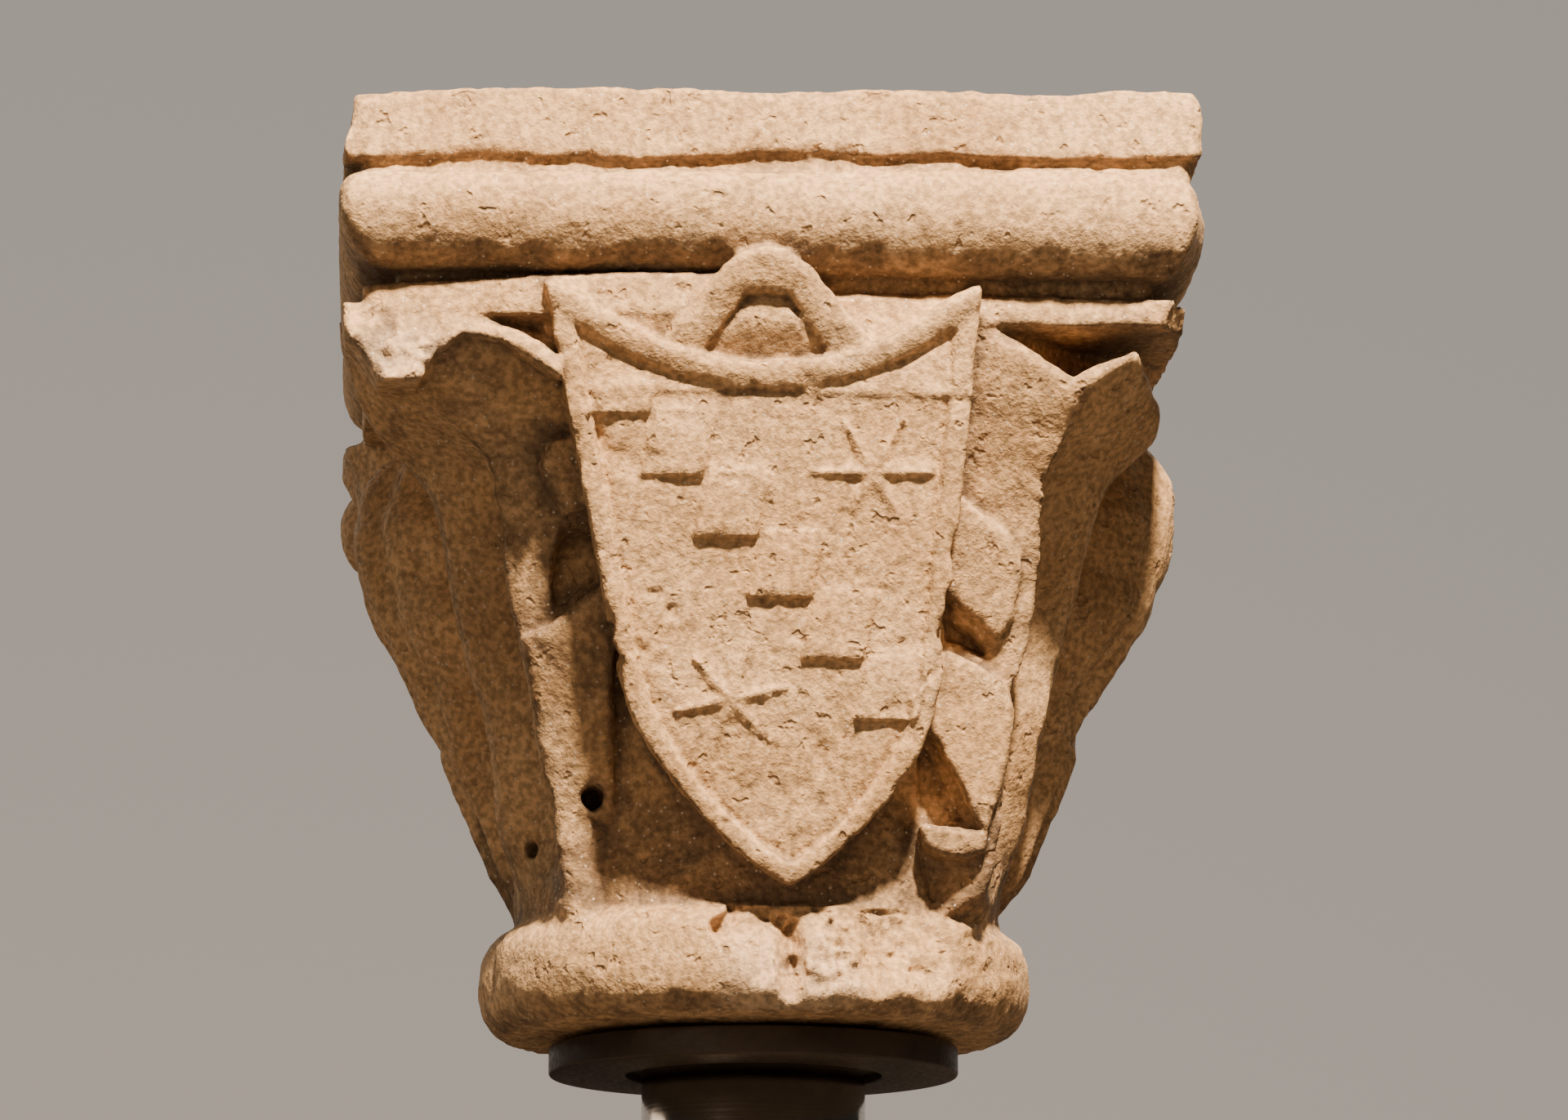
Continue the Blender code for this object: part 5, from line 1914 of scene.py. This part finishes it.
@dataclass
class Studio:
    """The pale floor, the soft lights and the camera."""

    distance: float = 2.100
    lens: float = 135.0
    azimuth: float = radians(-3.5)
    eye_height: float = -0.1205
    pitch: float = radians(11.346)
    heading: float = radians(3.80)

    def sheet(self, name: str, size: float, matrix: Matrix, material: Material) -> Piece:
        """Make a flat square sheet.

        Args:
            name: the sheet's name.
            size: half its width.
            matrix: where it lies.
            material: its finish.

        Returns:
            The sheet, linked to the scene.
        """
        mesh_data = bmesh.new()
        bmesh.ops.create_grid(mesh_data, x_segments=1, y_segments=1, size=size, matrix=matrix)
        mesh = bpy.data.meshes.new(name)
        mesh_data.to_mesh(mesh)
        mesh_data.free()
        mesh.materials.append(material)
        sheet = bpy.data.objects.new(name, mesh)
        bpy.context.scene.collection.objects.link(sheet)
        return sheet

    def floor(self) -> Piece:
        """Lay a pale floor that is seen only from above, and that throws little light back up.

        Returns:
            The floor.
        """
        material = bpy.data.materials.new("pale floor")
        material.use_nodes = True
        nodes = Nodes(material.node_tree)
        shown = material.node_tree.nodes["Principled BSDF"]
        nodes.dial(shown, {"Base Color": (0.36, 0.35, 0.34, 1.0), "Roughness": 0.9})
        nodes.dial(shown, {"Emission Color": (0.15, 0.143, 0.135, 1.0), "Emission Strength": 1.0})
        thrown = nodes.add("ShaderNodeBsdfPrincipled")
        nodes.dial(thrown, {"Base Color": (0.07, 0.066, 0.062, 1.0), "Roughness": 0.9})
        seen = nodes.add("ShaderNodeLightPath").outputs["Is Camera Ray"]
        below = nodes.add("ShaderNodeNewGeometry").outputs["Backfacing"]
        clear = nodes.add("ShaderNodeBsdfTransparent")
        lit = nodes.blend(seen, thrown.outputs[0], shown.outputs[0])
        surface = material.node_tree.nodes["Material Output"].inputs["Surface"]
        nodes.link(nodes.blend(below, lit, clear.outputs[0]), surface)
        floor = self.sheet("floor", 6.0, Matrix.Identity(4), material)
        return floor

    def backdrop(self) -> Piece:
        """Hang a pale backdrop far behind, which glows a little so that it doesn't lean on the lights.

        Returns:
            The backdrop.
        """
        material = bpy.data.materials.new("pale backdrop")
        material.use_nodes = True
        nodes, shader = Nodes(material.node_tree), material.node_tree.nodes["Principled BSDF"]
        nodes.dial(shader, {"Base Color": (0.30, 0.27, 0.24, 1.0), "Roughness": 0.9})
        nodes.dial(shader, {"Emission Color": (0.62, 0.56, 0.50, 1.0), "Emission Strength": 0.6})
        upright = Matrix.Translation((0.0, 5.0, 1.0)) @ Matrix.Rotation(0.5 * pi, 4, "X")
        backdrop = self.sheet("backdrop", 4.0, upright, material)
        return backdrop

    def aim(self, name: str, data: bpy.types.Light, place: tuple, target: tuple = (0.0, 0.0, 0.30)) -> None:
        """Hang a lamp that looks at the capital.

        Args:
            name: the lamp's name.
            data: its light.
            place: where it hangs.
            target: what it goes to.
        """
        lamp = bpy.data.objects.new(name, data)
        lamp.location = place
        lamp.rotation_euler = (Vector(target) - Vector(place)).to_track_quat("-Z", "Y").to_euler()
        bpy.context.scene.collection.objects.link(lamp)

    def area(self, name: str, place: tuple, size: float, power: float, colour: tuple) -> None:
        """Hang a soft area light.

        Args:
            name: the light's name.
            place: where it hangs.
            size: its width, in metres.
            power: its power, in watts.
            colour: its colour.
        """
        data = bpy.data.lights.new(name, "AREA")
        data.shape, data.size, data.energy, data.color = "DISK", size, power, colour
        self.aim(name, data, place)

    def lights(self) -> None:
        """Hang a wide key above and in front, a weak fill, a rim and a back light, in a pale surround."""
        data = bpy.data.lights.new("key", "SPOT")
        data.energy, data.color, data.shadow_soft_size = 850.0, (1.0, 0.74, 0.50), 0.08
        data.spot_size, data.spot_blend = radians(110.0), 1.0
        self.aim("key", data, (0.26, -1.42, 2.01))
        self.area("fill", (-1.5, -1.9, 0.45), 1.6, 4.2, (1.0, 0.78, 0.57))
        self.area("rim", (-1.5, 1.1, 1.0), 1.0, 6.0, (1.0, 0.82, 0.64))
        self.area("back", (1.1, 1.6, 1.5), 1.0, 17.0, (1.0, 0.82, 0.64))
        world = bpy.data.worlds.new("pale surround")
        world.use_nodes = True
        nodes = Nodes(world.node_tree)
        lighting, shown = world.node_tree.nodes["Background"], nodes.add("ShaderNodeBackground")
        for surround, strength in ((lighting, 0.034), (shown, 0.40)):
            nodes.dial(surround, {"Color": (0.80, 0.74, 0.68, 1.0), "Strength": strength})
        seen = nodes.add("ShaderNodeLightPath").outputs["Is Camera Ray"]
        surface = world.node_tree.nodes["World Output"].inputs["Surface"]
        nodes.link(nodes.blend(seen, lighting.outputs[0], shown.outputs[0]), surface)
        bpy.context.scene.world = world

    def camera(self) -> None:
        """Set up the camera at the photograph's distance, angle and lens."""
        data = bpy.data.cameras.new("camera")
        data.lens, data.sensor_width, data.sensor_fit = self.lens, 36.0, "HORIZONTAL"
        data.clip_start, data.clip_end = 0.05, 50.0
        camera = bpy.data.objects.new("camera", data)
        place = (self.distance * sin(self.azimuth), -self.distance * cos(self.azimuth), self.eye_height)
        level = cos(self.pitch)
        forward = Vector((sin(self.heading) * level, cos(self.heading) * level, sin(self.pitch)))
        camera.location = place
        camera.rotation_euler = forward.to_track_quat("-Z", "Y").to_euler()
        bpy.context.scene.collection.objects.link(camera)
        bpy.context.scene.camera = camera


def main() -> None:
    """Build the capital, its stand and the studio, and report each piece."""
    logging.basicConfig(level=logging.INFO, format="%(name)s: %(message)s")
    grain = grain_group()
    capital = Capital().build(MarbleFinish().material(grain))
    LOG.info("capital: %s", capital.name)
    stand = Stand()
    pieces = [
        stand.plate(PaintFinish("worn plate paint").material(grain)),
        stand.tube(SteelFinish().material(grain)),
        stand.foot(PaintFinish("foot paint", wear=0.2).material(grain)),
    ]
    for piece in pieces:
        LOG.info("stand: %s", piece.name)
    studio = Studio()
    studio.floor()
    studio.backdrop()
    studio.lights()
    studio.camera()


if __name__ == "__main__":
    main()
